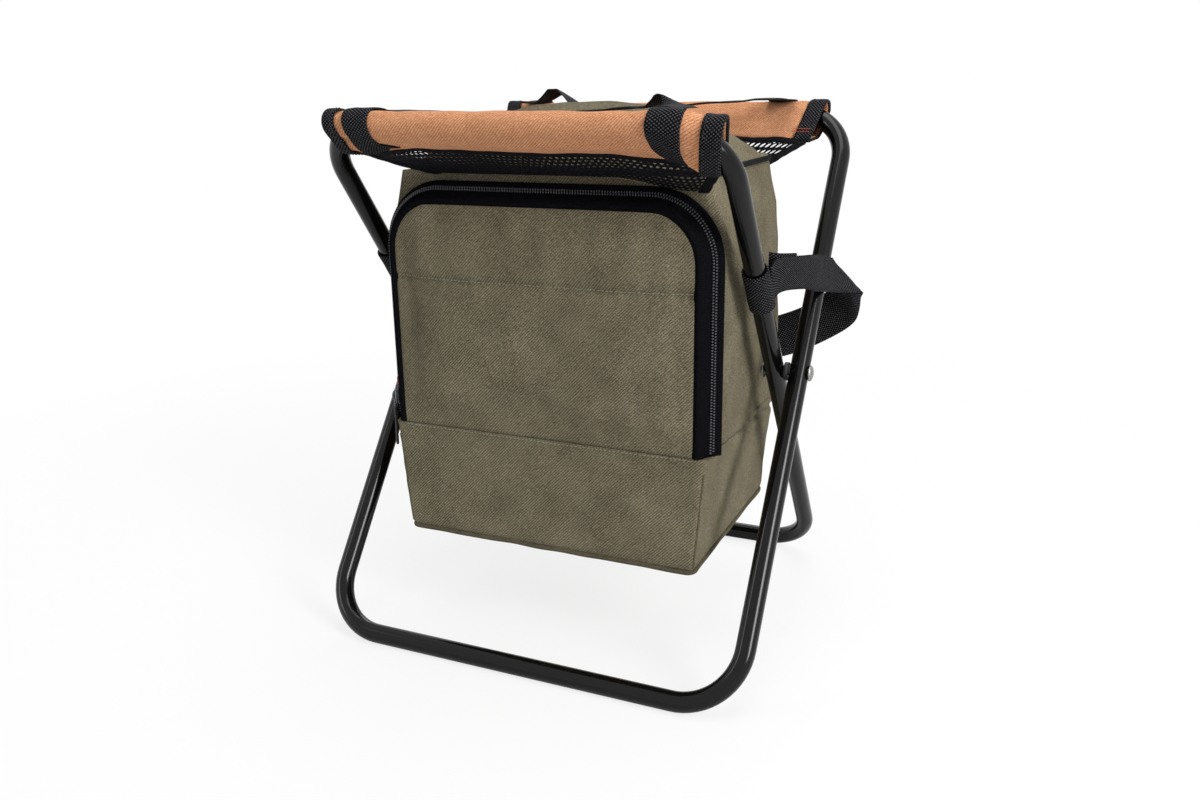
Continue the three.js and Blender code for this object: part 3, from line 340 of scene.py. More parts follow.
def shape(name, mesh, material):
    """An object from vertices, faces and surface coordinates, which are boxed where they are None."""
    verts, faces, uv = mesh
    data = bpy.data.meshes.new(name)
    data.from_pydata((np.asarray(verts) * MM).tolist(), [], faces)
    layer = data.uv_layers.new(name="UVMap")
    uv = boxed(data, verts) if uv is None else uv
    layer.data.foreach_set("uv", (np.asarray(uv, np.float32) * MM).ravel())
    data.polygons.foreach_set("use_smooth", [True] * len(data.polygons))
    data.materials.append(material)
    data.update()
    return added(name, data)


def thick(obj, thickness, offset=-1.0):
    layer = obj.modifiers.new("thickness", "SOLIDIFY")
    layer.thickness, layer.offset = thickness * MM, offset
    return obj


def stands_for(obj, nodes):
    if nodes:
        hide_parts(*nodes)
    return obj


def piece(name, mesh, material, body, *nodes, slot=None):
    """A visible piece that rides on a body, in the place of nodes."""
    obj = shape(name, mesh, material)
    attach(obj, body)
    return stands_for(obj, nodes)


def normals_of(rows, ring=False):
    du = (np.roll(rows, -1, 1) - np.roll(rows, 1, 1)) if ring else np.gradient(rows, axis=1)
    return unit(np.cross(du, np.gradient(rows, axis=0)))


def rippled(rows, wave, seed, amount, ring=False):
    """Rows of points moved a little along their normals."""
    return rows + normals_of(rows, ring) * (ripple(rows, wave, seed) * amount)[..., None]


def resample(points, step):
    """Points a step apart along a line, with the line's direction at each."""
    points = np.asarray(points, float)
    run = run_of(points)
    count = max(int(round(run[-1] / step)), 2)
    spots = (np.arange(count) + 0.5) / count * run[-1]

    def at(where):
        return np.stack([np.interp(where, run, points[:, axis]) for axis in range(3)], -1)

    return at(spots), unit(at(spots + 0.5) - at(spots - 0.5))


def beads(at, ahead, up, size):
    """Small rounded grains at points, with half sizes along, across and up."""
    across = unit(np.cross(ahead, np.broadcast_to(np.asarray(up, float), at.shape)))
    up = np.cross(across, ahead)
    waist = [(end, *way) for end in (-0.55, 0.55) for way in ((1, 0), (0, 1), (-1, 0), (0, -1))]
    spots = [at + ahead * a * size[0] + across * b * size[1] + up * c * size[2]
             for a, b, c in [(-1, 0, 0), *waist, (1, 0, 0)]]
    pairs = ((1, 2), (2, 3), (3, 4), (4, 1))
    grain = [(0, b, a) for a, b in pairs] + [(a, b, b + 4, a + 4) for a, b in pairs]
    grain += [(9, a + 4, b + 4) for a, b in pairs]
    faces = [tuple(k + len(spots) * i for k in face) for i in range(len(at)) for face in grain]
    return np.stack(spots, 1).reshape(-1, 3), faces, np.zeros((sum(map(len, faces)), 2))


def stitches(name, lines, material, body, up, pitch=3.6, size=(1.3, 0.42, 0.36)):
    piece(name, merged(*(beads(*resample(line, pitch), up, size) for line in lines)), material, body)


def tube_along(points, radius, sides=8, closed=False, flat=1.0):
    """A tube along a line, flat times as wide as it is high."""
    points = np.asarray(points, float)
    ahead = unit((np.roll(points, -1, 0) - np.roll(points, 1, 0)) if closed else np.gradient(points, axis=0))
    aside = np.array([0, 0, 1.0]) if np.abs(ahead[:, 2]).max() < 0.9 else np.array([0, 1.0, 0])
    across = unit(np.cross(ahead, aside))
    up = np.cross(across, ahead)
    rings = np.stack([points + across * (radius * flat * math.cos(a)) + up * (radius * math.sin(a))
                      for a in np.arange(sides) * TAU / sides], 1)
    return grid(rings, True, closed)


class Plane:
    """The plane of a tube loop, or of a seam below its bar. side is 1 where the bar is behind the pivots."""

    def __init__(self, name, body, side, up, foot):
        self.name, self.body, self.side = name, body, side
        self.up, self.foot, self.normal = up, foot, np.cross(X, up)

    def at(self, x, v, w):
        """Spots at x, v up the legs and w off the plane."""
        x, v, w = (np.asarray(part, float)[..., None] for part in (x, v, w))
        return self.foot + x * X + v * self.up + w * self.normal


def loop_plane(name, body, side):
    up = unit(np.array([0, side * (BAR_REACH + FOOT_REACH), RISE]))
    return Plane(name, body, side, up, np.array([0, -side * FOOT_REACH, FOOT_HEIGHT]))


OUT, INN = loop_plane("rear", "frame_outer", 1), loop_plane("front", "frame_inner", -1)


# Tube loops
def tube_loop(name, plane, half, solid):
    def on_bend(corner, turn):
        x = (half - BEND_R) * (1 if corner % 4 < 2 else -1) - BEND_R * math.sin(turn)
        v = (BEND_R if corner % 4 in (1, 2) else LEG - BEND_R) + BEND_R * math.cos(turn)
        return np.array([x, v, turn])

    stations = []
    for corner in range(4):
        stations += [on_bend(corner, -(corner + share) * QUARTER) for share in np.linspace(0, 1, 17)]
        start, end = stations[-1], on_bend(corner + 1, -(corner + 1) * QUARTER)
        stations += [start + (end - start) * share for share in (0.2, 0.4, 0.6, 0.8)]
    round_ = np.arange(32) * TAU / 32
    inner = TUBE_R * np.cos(round_)
    rows = [plane.at(x - inner * math.sin(turn), v + inner * math.cos(turn), TUBE_R * np.sin(round_))
            for x, v, turn in stations]
    piece(name, grid(np.array(rows)[::-1], True, True), PAINT, plane.body, solid, slot="tube_black")


tube_loop("outer_loop", OUT, OUTER_HALF, "outer_tube")
tube_loop("inner_loop", INN, INNER_HALF, "inner_tube")

# Pivots
PLAY = 0.3
WASHER = 1.2
SHAFT_R = 3.0
HEAD_R = 6.5


def turned(name, profile, x, hand, material, body, solid, slot):
    """A turned piece on the pivots' line, from radii and distances outwards."""
    turn = np.arange(36) * TAU / 36
    rows = [np.stack([np.full(36, hand * (x + out)), r * np.cos(turn) * hand, PIVOT_Z + r * np.sin(turn)], -1)
            for r, out in profile]
    hollow = profile[0][0] > 1
    piece(name, grid(np.array(rows), True, hollow), material, body, solid, slot=slot)


def ring_profile(radius, bevel, height):
    bore = SHAFT_R + PLAY
    edge = [(radius - bevel, 0), (radius, bevel), (radius, height - bevel), (radius - bevel, height)]
    return [(bore, 0), *edge, (bore, height)]


# each rivet runs from its clinched end inside the inner leg to its domed head on the outer leg
for side, hand in HANDS:
    washer_x = INNER_HALF - SOLID_R - PLAY - WASHER
    start = washer_x - PLAY
    head = OUTER_HALF + SOLID_R + PLAY - start
    dome = [(HEAD_R * math.cos(a), head + 0.5 + 2.7 * math.sin(a)) for a in np.linspace(0, QUARTER, 9)[:-1]]
    clinch = [(0.001, -1.6), (2.2, -1.5), (3.0, -1.5), (4.3, -0.3), (4.4, 0), (SHAFT_R, 0)]
    profile = clinch + [(SHAFT_R, head), (6.1, head), (HEAD_R, head + 0.3)] + dome + [(0.001, head + 3.2)]
    turned("rivet_" + side, profile, start, hand, STEEL, "frame_outer", "pivot_rivet_" + side, "rivet_steel")
    turned("washer_" + side, ring_profile(7, 0.2, WASHER), washer_x, hand, STEEL, "frame_outer",
           "pivot_washer_" + side, "rivet_steel")
    turned("spacer_" + side, ring_profile(7.5, 0.3, 3.4), INNER_HALF + SOLID_R + PLAY, hand, NYLON,
           "frame_inner", "pivot_spacer_" + side, "spacer_nylon")

# Seat sleeves
SLEEVE_R = 9.5
SEAM_R = 2.2
DROP = 33.0
LEAN = 0.2
HANG = 0.156 * QUARTER
RING_N = 64
WRAP_X = 121.0
FABRIC = 1.2
# how far the front seam's height strays, at places along it
REACHES = ((-160, 0.5), (-137, -0.4), (-111, -2.9), (-88, -5.5), (-76, -4.4), (-45, -3.6), (-9, -2.4),
           (28, -1.8), (49, -2.7), (71, -1.9), (94, 1.5), (111, 2.8), (131, 5.5), (165, 5.5))


def flare(x):
    """How far a sleeve's end leaves the bar, from 0 in its middle to 1 at its ends."""
    return float(ease((abs(x) - 98) / 36))


def reach_at(plane, x):
    """How far a seam's height strays at x."""
    if plane is OUT:
        return 1.2 * np.cos(np.asarray(x, float) / 31 + 1)
    return np.interp(x, [place for place, _ in REACHES], [reach for _, reach in REACHES])


def sleeve_end(plane, hand):
    return 160.0 if hand > 0 else (154.0 if plane is OUT else 148.0)


def sleeve_outline(plane, x, off, belly):
    """Depth and across of a sleeve's section from its seam round: bar, slot's end and seam, drawn tight."""
    reach = DROP - SEAM_R + float(reach_at(plane, x))
    sink, slot = 0.0, 14.0 * flare(x)
    if plane is INN:
        sink = 5.5 * float(ease((x - 124) / 30))
        slot = 28.0 * float(ease((x - 116) / 34)) if x > 0 else slot
    seam = (reach * math.cos(HANG), plane.side * reach * math.sin(HANG))
    spots = np.array([(sink, 0), (max(slot, sink), 0), seam])
    radii = np.array([SLEEVE_R, SLEEVE_R, SEAM_R]) + off
    turn = plane.side * HANG + np.linspace(0, TAU, 241)
    ways = np.stack([np.cos(turn), np.sin(turn)], -1)
    best = (ways @ spots.T + radii).argmax(1)
    best[-1] = best[0]
    points = spots[best] + radii[best][:, None] * ways
    out = [points[:1]]
    for k, (here, there) in enumerate(zip(points, points[1:])):
        far = float(np.linalg.norm(there - here))
        if best[k] != best[k + 1] and far > 3:
            share = np.linspace(0, 1, 14)[1:-1, None]
            puff = belly * (1 - flare(x)) * min(far / 26, 1) * np.sin(math.pi * share)
            out.append(here + (there - here) * share + ways[k] * puff)
        out.append(there[None])
    return np.concatenate(out)


def sleeve_at(plane, x, off, shares, belly=1.6):
    """Points round the sleeve at x, by the share of the way round from its seam."""
    line = sleeve_outline(plane, x, off, belly)
    run = run_of(line)
    at = np.asarray(shares, float) * run[-1]
    depth, across = np.interp(at, run, line[:, 0]), np.interp(at, run, line[:, 1])
    return plane.at(x - LEAN * (depth + SLEEVE_R) * flare(x) * np.sign(x), LEG - depth, across)


def sleeve_ring(plane, x, off):
    return sleeve_at(plane, x, off, np.arange(RING_N) / RING_N)


def hung(plane):
    """The loop's plane turned about its bar to where the net pulls the seam."""
    up = plane.up * math.cos(HANG) - plane.normal * (plane.side * math.sin(HANG))
    return Plane(plane.name, plane.body, plane.side, up, plane.at(0, LEG, 0) - LEG * up)


def creased(plane, xs, off, seed):
    """Sleeve sections over xs with soft pulls that gather beside the handle wraps."""
    rings = np.array([sleeve_ring(plane, x, off) for x in xs])
    ends = np.where(xs > 0, sleeve_end(plane, 1), sleeve_end(plane, -1))
    gather = hill((np.abs(xs) - 99) / 16) + 0.8 * hill((np.abs(xs) - 140) / 6)
    calm = ease((ends + 0.2 - np.abs(xs)) / 8)
    wave = ripple(rings, 60, seed, (0.5, 1.4, 1.4)) * 0.55 + ripple(rings, 22, seed + 1, (0.6, 1, 1)) * 0.22
    wave += gather[:, None] * ripple(rings, 17, seed + 2, (0.45, 1.5, 1.5)) * 0.75
    return rings + normals_of(rings, True) * (wave * calm[:, None])[..., None]


def end_binding(plane, hand, seed):
    """Webbing folded over a sleeve's raw end. It returns the line of its stitches."""
    end = sleeve_end(plane, hand)
    wide = 13.0 if end > 150 else 9.0
    outer = [(0.2 - wide, 0.35), (-wide, 1.2), (0.4 - wide, 1.9), (3 - wide, 2.1), (-5, 2.0), (-2, 2.1)]
    inner = [(0.8, 1.9), (1.9, 1.1), (1.9, -0.6), (1.2, -1.2), (0.4, -1.15), (0.3, 0.3), (-5, 0.3)]
    rings = np.array([sleeve_ring(plane, hand * (end + x), off) for x, off in outer + inner])
    rings = rippled(rings, 9, seed, 0.12, True)
    side = "left" if hand < 0 else "right"
    piece(f"{plane.name}_end_binding_{side}", grid(rings[::hand], True, True), WEB, plane.body,
          f"{plane.name}_binding_{side}", slot="webbing_black")
    ring = sleeve_ring(plane, hand * (end - wide + 2.5), 2.25)
    return np.concatenate([ring, ring[:1]])


def seat(plane, seed):
    xs = np.linspace(-sleeve_end(plane, -1), sleeve_end(plane, 1), 181)
    skin, lining = (creased(plane, xs, off, seed) for off in (0.0, -FABRIC))
    piece(plane.name + "_seat_sleeve", grid(np.concatenate([skin, lining[::-1]]), True, True), ORANGE,
          plane.body, plane.name + "_sleeve", slot="sleeve_orange")
    grains = []
    for _, hand in HANDS:
        line = end_binding(plane, hand, seed + 5)
        at, ahead = resample(line, 3.4)
        grains.append(beads(at, ahead, (at - line.mean(0)) * (0, 1, 1), (1.2, 0.3, 0.25)))
    piece(plane.name + "_binding_stitches", merged(*grains), BLACK_THREAD, plane.body)


seat(OUT, 11)
seat(INN, 31)
# red bar tacks at the foot of the rear sleeve's right binding
tack_xs = np.linspace(144, 159, 8)
tacks = [[sleeve_at(OUT, x, 2.35, [share])[0] for x in tack_xs] for share in (0.075, 0.1)]
stitches("bar_tacks", tacks, RED_THREAD, OUT.body, (0, -1, 0.4), 2.0, (1.1, 0.35, 0.3))


# Carry handles
HANDLE_WIDTH = 25
WEB_THICKNESS = 1.6


def ribbon(points, widths, width, thickness, wave=0.0, seed=0, columns=8):
    """A flat strap along its middle line."""
    points, widths = np.asarray(points, float), np.asarray(widths, float)
    ahead = unit(np.gradient(points, axis=0))
    across = unit(widths - (widths * ahead).sum(1, keepdims=True) * ahead)
    face = np.cross(ahead, across)
    share = np.linspace(-1, 1, columns)
    lift = (1 - np.abs(share) ** 6) * thickness / 2
    section = [*zip(share, lift), *zip(share[::-1], -lift[::-1])]
    rings = np.stack([points + across * (a * width / 2) + face * b for a, b in section], 1)
    return bar_of(rings + face[:, None] * (ripple(rings, 34, seed) * wave)[..., None])


def handle_strap(plane, seed, stand, tilt, peak, low):
    """The strap between a sleeve's wraps.

    Each pair is for its left and right: how far it stands, its tilt, where both peak and how low it lies."""
    bar = plane.at(0, LEG, 0)
    corner_r, reach, inwards = 22.0, 41.0, -plane.side
    corner, straight = WRAP_X - corner_r, reach - corner_r
    left = [(-WRAP_X, y, -QUARTER) for y in (0, 6, 12)]
    left += [(-corner - corner_r * math.cos(a), straight + corner_r * math.sin(a), a - QUARTER)
             for a in np.linspace(0, QUARTER, 13)]
    middle = [(corner * (2 * i / 30 - 1), reach, 0) for i in range(1, 30)]
    right = [(-x, y, -heading) for x, y, heading in left[::-1]]
    points, widths = [], []
    for x, y, heading in left + middle + right:
        k = int(x > 0)
        sag = 5 * float(ease(1 - abs(x) / corner)) + low[k] * float(ease((y - 8) / 18))
        near = math.exp(-(abs(abs(x) - peak[k]) / 11) ** 3) * min(1.0, (y + 6) / 22)
        points.append((x, bar[1] + inwards * y, bar[2] + SLEEVE_R + 1.1 - sag + stand[k] * near))
        widths.append((math.sin(heading), inwards * math.cos(heading), tilt[k] * near))
    mesh = ribbon(points, widths, HANDLE_WIDTH, WEB_THICKNESS, 0.5, seed)
    obj = piece(plane.name + "_handle", mesh, WEB, plane.body, plane.name + "_carry_handle",
                slot="webbing_black")
    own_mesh(obj)


def handle_wraps(plane, seed):
    """The strap's ends, which pass round the sleeve and lie slightly askew below."""
    parts = []
    for _, hand in HANDS:
        near, far = (109.5, 131.5) if hand < 0 else (108.5, 133.5)
        flat = [(x, 2.15) for x in np.linspace(near + 2.5, far - 2.5, 7)]
        profile = [(near, 0.3), (near - 0.1, 1.2), (near + 0.5, 2.0), *flat, (far - 0.5, 2.0),
                   (far + 0.1, 1.2), (far, 0.3), (WRAP_X, 0.3)]
        shares = np.linspace(0.13 if hand < 0 else 0.012, 0.6, 44)
        rows = np.array([sleeve_at(plane, hand * x, off, shares if plane is INN else 1 - shares)
                         for x, off in profile])
        rows = rippled(rows, 12, seed + hand, 0.22)
        depth = (plane.at(0, LEG, 0) - rows) @ plane.up
        rows[..., 0] += 6 * ease((depth - 10) / 26)
        rows = rows[::-1] if (hand < 0) == (plane is INN) else rows
        size = rows.shape[1]
        count = len(rows) * size
        rims = range(0, count, size), range(size - 1, count, size)[::-1]
        parts.append(capped(grid(rows, False, True), *rims))
    piece(plane.name + "_handle_wraps", merged(*parts), WEB, plane.body, slot="webbing_black")


def handle_tail_and_shade(plane):
    """The strap's raw tail, turned towards the middle and sewn flat. Its black triangle is partly painted
    shade: it also stands for the shadow in the gathers beside the wrap.
    """
    rows = []
    for x in np.linspace(-121, -95, 14):
        shares = 0.13 + np.linspace(0.11 * (1 - float(ease((x + 116) / 22))) + 0.01, 0, 6)
        rows.append(sleeve_at(plane, x, 0.75, shares if plane is INN else 1 - shares))
    # painted shade in part: this black triangle also stands for the shadow in the gathers beside the wrap
    tail_and_shade = piece(plane.name + "_handle_tail", grid(np.array(rows)), WEB, plane.body, slot="webbing_black")
    thick(tail_and_shade, 1.2, 0)


def handle(plane, seed, stand, tilt, peak, low):
    handle_strap(plane, seed, stand, tilt, peak, low)
    handle_wraps(plane, seed)
    handle_tail_and_shade(plane)


handle(INN, 51, stand=(0.5, 4.5), tilt=(0.0, -0.45), peak=(111, 107), low=(3.0, 0.0))
handle(OUT, 71, stand=(9.5, 1.5), tilt=(0.3, 0.0), peak=(82, 111), low=(0.0, 0.0))


# Seam bindings under the sleeves
def seam_binding(plane, seed):
    section = [(-0.4, -1), (-1.4, 0), (-0.4, 1), (2.0, 1.05), (4.0, 0.9), (4.8, 0), (4.0, -0.9), (2.0, -1.05)]
    seam = hung(plane)
    rows = []

    def stray(x, y, z, wave, shift=0):
        return float(ripple((x, y, z), wave, seed + shift))

    for x in np.linspace(9 - sleeve_end(plane, -1), sleeve_end(plane, 1) - 9, 170):
        dip = 0.9 * stray(x, 0, 0, 38) + 0.45 * stray(x, 9, 0, 14)
        sway = 0.6 * stray(x, 0, 30, 26, 2)
        fat = 1.35 + 0.25 * stray(x, 40, 0, 12, 3)
        lean = LEAN * (DROP + SLEEVE_R) * flare(x) * np.sign(x)
        deep = DROP + 0.4 + float(reach_at(plane, x))
        rows.append([seam.at(x - lean, LEG - deep - down - dip * (down > -1) * 0.5, across * fat + sway)
                     for down, across in section])
    piece(plane.name + "_seam_binding", grid(np.array(rows), True), TAPE, plane.body,
          plane.name + "_seam_tape", slot="webbing_black")


seam_binding(OUT, 81)
seam_binding(INN, 91)

# Nets between the sleeves and the bag's rim
NET_TOP = 143.0
SEAM_DEPTH = 38.1
RIM_FRONT, RIM_BACK, RIM_Z = -89.0, 99.0, 385.0


def net_half(plane, u, t):
    """Half width of the net on the side of u, from the seam to the rim."""
    right = np.asarray(u) > 0
    top = np.where(right, NET_TOP, 136.0 if plane is INN else 141.0)
    low = np.where(right, 124.0, 92.0) if plane is INN else 106.0
    return top + (low - top) * t


def net_point(plane, u, t):
    """u across from -1 to 1, t from the sleeve's seam to the bag's rim."""
    u, t = np.asarray(u, float), np.asarray(t, float)
    seam = hung(plane).at(0, LEG - SEAM_DEPTH, 0)
    rim = np.array([0, RIM_BACK if plane is OUT else RIM_FRONT, RIM_Z])
    p = seam + (rim - seam) * t[..., None]
    p[..., 2] -= 8.5 * ease((u - 0.45) / 0.5) * t
    p = p + (u * net_half(plane, u, t))[..., None] * X
    p = p - (reach_at(plane, u * NET_TOP) * (1 - t))[..., None] * hung(plane).up
    p[..., 2] -= np.sin(math.pi * t) * (1.2 + 0.9 * ripple(np.stack([u * 140, t * 30, 0 * t], -1), 60, 5))
    return p


def honeycomb(length, pitch=5.0, row_pitch=4.2, hole=0.56):
    """Flat places and faces of a net's cells."""
    rows, radius = int(length / row_pitch), pitch / math.sqrt(3)
    tall = length / rows / (1.5 * radius)
    places, index, faces = [], {}, []

    def place(x, y):
        key = (round(x * 20), round(y * 20))
        if key not in index:
            index[key] = len(places)
            places.append((x, y))
        return index[key]

    def hexagon(x, y, r):
        turn = [k * TAU / 6 for k in range(6)]
        return [place(x + r * math.sin(a), y + r * tall * math.cos(a)) for a in turn]

    for row in range(rows):
        count = 57 - row % 2
        for column in range(count):
            x, y = (column - (count - 1) / 2) * pitch, (row + 0.5) * length / rows
            outer, inner = hexagon(x, y, radius), hexagon(x, y, hole * radius)
            faces += [(outer[k], outer[(k + 1) % 6], inner[(k + 1) % 6], inner[k]) for k in range(6)]
    return np.array(places), faces


def net(plane, seed):
    name, body = plane.name, plane.body
    whole = net_point(plane, 0.0, 1.0) - net_point(plane, 0.0, 0.0)
    length = float(np.linalg.norm(whole))
    flat, faces = honeycomb(length)
    u, t = np.clip(flat[:, 0] / NET_TOP, -1.01, 1.01), np.clip(flat[:, 1] / length, -0.02, 1.02)
    corners = np.concatenate([flat[list(face)] for face in faces])
    obj = thick(shape(name + "_net", (net_point(plane, u, t), faces, corners), NET), 0.7, 0)
    stands_for(obj, [name + "_mesh_panel"])
    seam, rim = tuple(net_point(plane, 0.0, 0.05) * MM), tuple(net_point(plane, 0.0, 0.95) * MM)
    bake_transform(obj)
    half_section = [(-1.5, -0.9), (1, -1.1), (5, -1.0), (6.8, -0.6)]
    section = half_section + [(7.1, 0)] + [(a, -b) for a, b in half_section[::-1]]
    for side, hand in HANDS:
        rows = []
        for t in np.linspace(-0.04, 1.04, 24):
            held = min(max(t, 0), 1)
            half = float(net_half(plane, hand, held))
            row = np.array([net_point(plane, hand * (half + a) / half, held) for a, _ in section])
            row += (t - held) * whole
            row[:, 2] += [b + 0.5 * float(ripple(np.array([t * 40, a, hand]), 11, seed)) for a, b in section]
            rows.append(row[::-1] if hand == plane.side else row)
        edge = shape(f"{name}_net_edge_{side}", grid(np.array(rows), True), TAPE)
        stands_for(edge, [f"{name}_mesh_edge_{side}"])
        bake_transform(edge)


# Bag: its half width, its narrowing to the back and its back's place, by height
HALVES = ((87, 129), (180, 138), (300, 142), (352, 139), (386, 130))
NARROWS = ((87, 1.5), (170, 1.5), (236, 3), (300, 7), (352, 6), (386, 3))
BACKS = ((87, 104), (300, 104), (386, 98))
BAG_LOW, BAG_TOP, HINGE_Z = 87, 386, 180.0
FOOT_FRONT, TOP_FRONT = -107.0, -88.0
MOUTH_HALF, MOUTH_LOW, MOUTH_TOP, MOUTH_R = 118, 190, 353, 34
# points of a level ring along its front, a corner, a side and the back
FRONT_N, CORNER_N, SIDE_N, BACK_N = 65, 6, 44, 56


def by_height(z, table):
    return float(np.interp(z, [place for place, _ in table], [size for _, size in table]))


def quarter_turn(x, y, radius, start, count):
    """The inner points of a level quarter turn."""
    turn = np.linspace(start, start + QUARTER, count + 2)[1:-1]
    return np.stack([x + radius * np.cos(turn), y + radius * np.sin(turn)], -1)


def bag_ring(z, front, inset):
    """A level ring of the bag, anticlockwise from its front left corner."""
    half, narrow, back = by_height(z, HALVES) - inset, by_height(z, NARROWS), by_height(z, BACKS) - inset
    front = front + inset
    front_r, back_r = max(6 - inset, 1.5), max(18 - inset, 4.5)

    def side(y):
        return half - narrow * (y - front) / (back - front)

    ys = np.linspace(front + front_r, back - back_r, SIDE_N)
    back_x = side(back - back_r) - back_r
    right = np.concatenate([quarter_turn(half - front_r, front + front_r, front_r, -QUARTER, CORNER_N),
                            np.stack([side(ys), ys], -1),
                            quarter_turn(back_x, back - back_r, back_r, 0, CORNER_N + 2)])
    across = np.stack([np.linspace(front_r - half, half - front_r, FRONT_N), np.full(FRONT_N, front)], -1)
    behind = np.stack([np.linspace(back_x, -back_x, BACK_N), np.full(BACK_N, back)], -1)
    ring = np.concatenate([across, right, behind, right[::-1] * (-1, 1)])
    return np.concatenate([ring, np.full((len(ring), 1), z)], 1)


def arch(half, sill, top, radius, steps=14):
    """An outline of x and z with round upper corners."""
    left = [(-(half - radius + radius * math.cos(a)), top - radius + radius * math.sin(a))
            for a in np.linspace(0, QUARTER, steps + 1)]
    return [(-half, sill)] + left + [(-x, z) for x, z in left[::-1]] + [(half, sill)]


def bag_grid(inset):
    """Rows of the bag's layer: those of its bottom, which run in to its middle, and those of its walls."""
    low, shelf = BAG_LOW + inset, HINGE_Z - inset
    stations = [(low, FOOT_FRONT, -3.0), (low + 1.2, FOOT_FRONT, -1.2), (low + 3.5, FOOT_FRONT, -0.3)]
    for start, end, count in ((low + 6, 161, 18), (162.3, shelf - 1.6, 12)):
        stations += [(z, FOOT_FRONT, 0) for z in np.linspace(start, end, count)]
    stations += [(shelf - 0.6, FOOT_FRONT + 0.3, 0)]
    stations += [(shelf, y, 0) for y in np.linspace(FOOT_FRONT + 1.5, TOP_FRONT, 6)]
    top = BAG_TOP if inset == 0 else BAG_TOP - 1.4
    for start, end, count in ((shelf + 1.3, 198, 12), (201.5, top, 50)):
        stations += [(z, TOP_FRONT, 0) for z in np.linspace(start, end, count)]
    if inset == 0:
        stations += [(BAG_TOP + 0.2, TOP_FRONT, -tuck) for tuck in (2.0, 15.0)]
    walls = folded(np.array([bag_ring(z, front, inset - tuck) for z, front, tuck in stations]), inset)
    bottom = np.array([walls[0] * (share, share, 1) for share in np.linspace(0.04, 0.96, 12)])
    return bottom, walls


def seam_height(y):
    """The seam round the bag's sides dips behind the front corner and runs level to the back."""
    return 176.3 + 6.5 * hill((y + 107) / 22) - 0.065 * (y + 20)


def folded(walls, inset):
    """Soft creases of a hanging bag: pulls from the seams, a fold down each side and a dimpled seam."""
    along = np.roll(walls, -1, 1) - np.roll(walls, 1, 1)
    normal = unit(np.stack([along[..., 1], -along[..., 0], 0 * along[..., 0]], -1))
    x, y, z = walls[..., 0], walls[..., 1], walls[..., 2]
    side = ease((np.abs(normal[..., 0]) - 0.6) / 0.35)
    back = ease((normal[..., 1] - 0.5) / 0.4)
    foot = ease((z - 90) / 8) * (1 - ease((z - 176) / 4)) * ease((-normal[..., 1] - 0.6) / 0.3)
    wave = 0.9 * ripple(walls, 95, 3) + 0.45 * ripple(walls, 38, 4)
    out = (side + back + 0.55 * foot) * wave * ease((z - 88) / 12)
    # the seam and the puckers beside it, under which the inner layers keep clear
    gap = z - seam_height(y)
    pucker = 1 + 0.5 * ripple(walls, 15, 6, (1, 1, 0.1))
    if inset > 0:
        out -= (side + back) * 3.4 * hill(gap / 8)
    else:
        out += (side + back) * (0.85 * hill((np.abs(gap) - 6.5) / 4.5) - 1.7 * hill(gap / 2.2)) * pucker
    # a long fold from the shoulder towards the strap, a second down the side, and soft bellies
    lean = (z - 351) + (y + 93) * 0.68
    out += side * 2.2 * hill(lean / 6) * ease((y + 100) / 14) * (1 - ease((y + 38) / 30))
    lean = (y - 40) + (z - 280) * 0.16
    out += side * 1.6 * hill(lean / 7) * ease((z - 190) / 40) * (1 - ease((z - 350) / 30))
    out += side * 1.5 * np.sin(np.clip((z - 184) / 190, 0, 1) * math.pi)
    out += back * 2.6 * np.sin(np.clip((z - 95) / 285, 0, 1) * math.pi) * (1 - (x / 150) ** 2)
    return walls + normal * out[..., None]


def in_outline(points, outline):
    x, z = points[:, 0], points[:, 1]
    inside = np.zeros(len(points), bool)
    for (x0, z0), (x1, z1) in zip(outline, np.roll(outline, -1, 0)):
        at = x0 + (z - z0) / (z1 - z0 if z1 != z0 else TINY) * (x1 - x0)
        inside ^= ((z0 > z) != (z1 > z)) & (x < at)
    return inside


def nearest_on(points, outline):
    best, spot = np.full(len(points), np.inf), points.copy()
    for start, end in zip(outline, np.roll(outline, -1, 0)):
        way = end - start
        share = np.clip(((points - start) @ way) / max(way @ way, TINY), 0, 1)
        near = start + share[:, None] * way
        far = np.linalg.norm(points - near, axis=1)
        closer = far < best
        best[closer], spot[closer] = far[closer], near[closer]
    return spot


def bag_layer(name, inset, thickness, material, solid, slot):
    """One layer of the bag, with the door's mouth cut out."""
    verts, quads, _ = grid(np.concatenate(bag_grid(inset)), True)
    count = 2 * (CORNER_N + SIDE_N + CORNER_N + 2) + FRONT_N + BACK_N
    verts = np.concatenate([verts, verts[:count].mean(0)[None]])
    fan = [(len(verts) - 1, (k + 1) % count, k) for k in range(count)]
    outline = np.array(arch(MOUTH_HALF, MOUTH_LOW, MOUTH_TOP, MOUTH_R))
    middle = verts[np.array(quads)].mean(1)
    front = (middle[:, 1] < TOP_FRONT + inset + 1.5) & (middle[:, 2] > HINGE_Z + 1)
    inside = front & in_outline(middle[:, [0, 2]], outline)
    keep = [quad for quad, cut in zip(quads, inside) if not cut]
    lost = [quad for quad, cut in zip(quads, inside) if cut]
    edge = list({k for quad in lost for k in quad} & {k for quad in keep for k in quad})
    verts[edge, ::2] = nearest_on(verts[edge][:, [0, 2]], outline)
    return thick(piece(name, (verts, keep + fan, None), material, "cooler_bag", solid, slot=slot), thickness)


bag_layer("bag_body", 0.0, 1.2, OLIVE, "bag_shell", "bag_olive")
bag_layer("bag_foam", 2.3, 4.2, FOAM, "bag_insulation", "foam_white")
bag_layer("bag_lining", 6.9, 0.9, SILVER, "bag_liner", "liner_silver")
net(OUT, 101)
net(INN, 111)


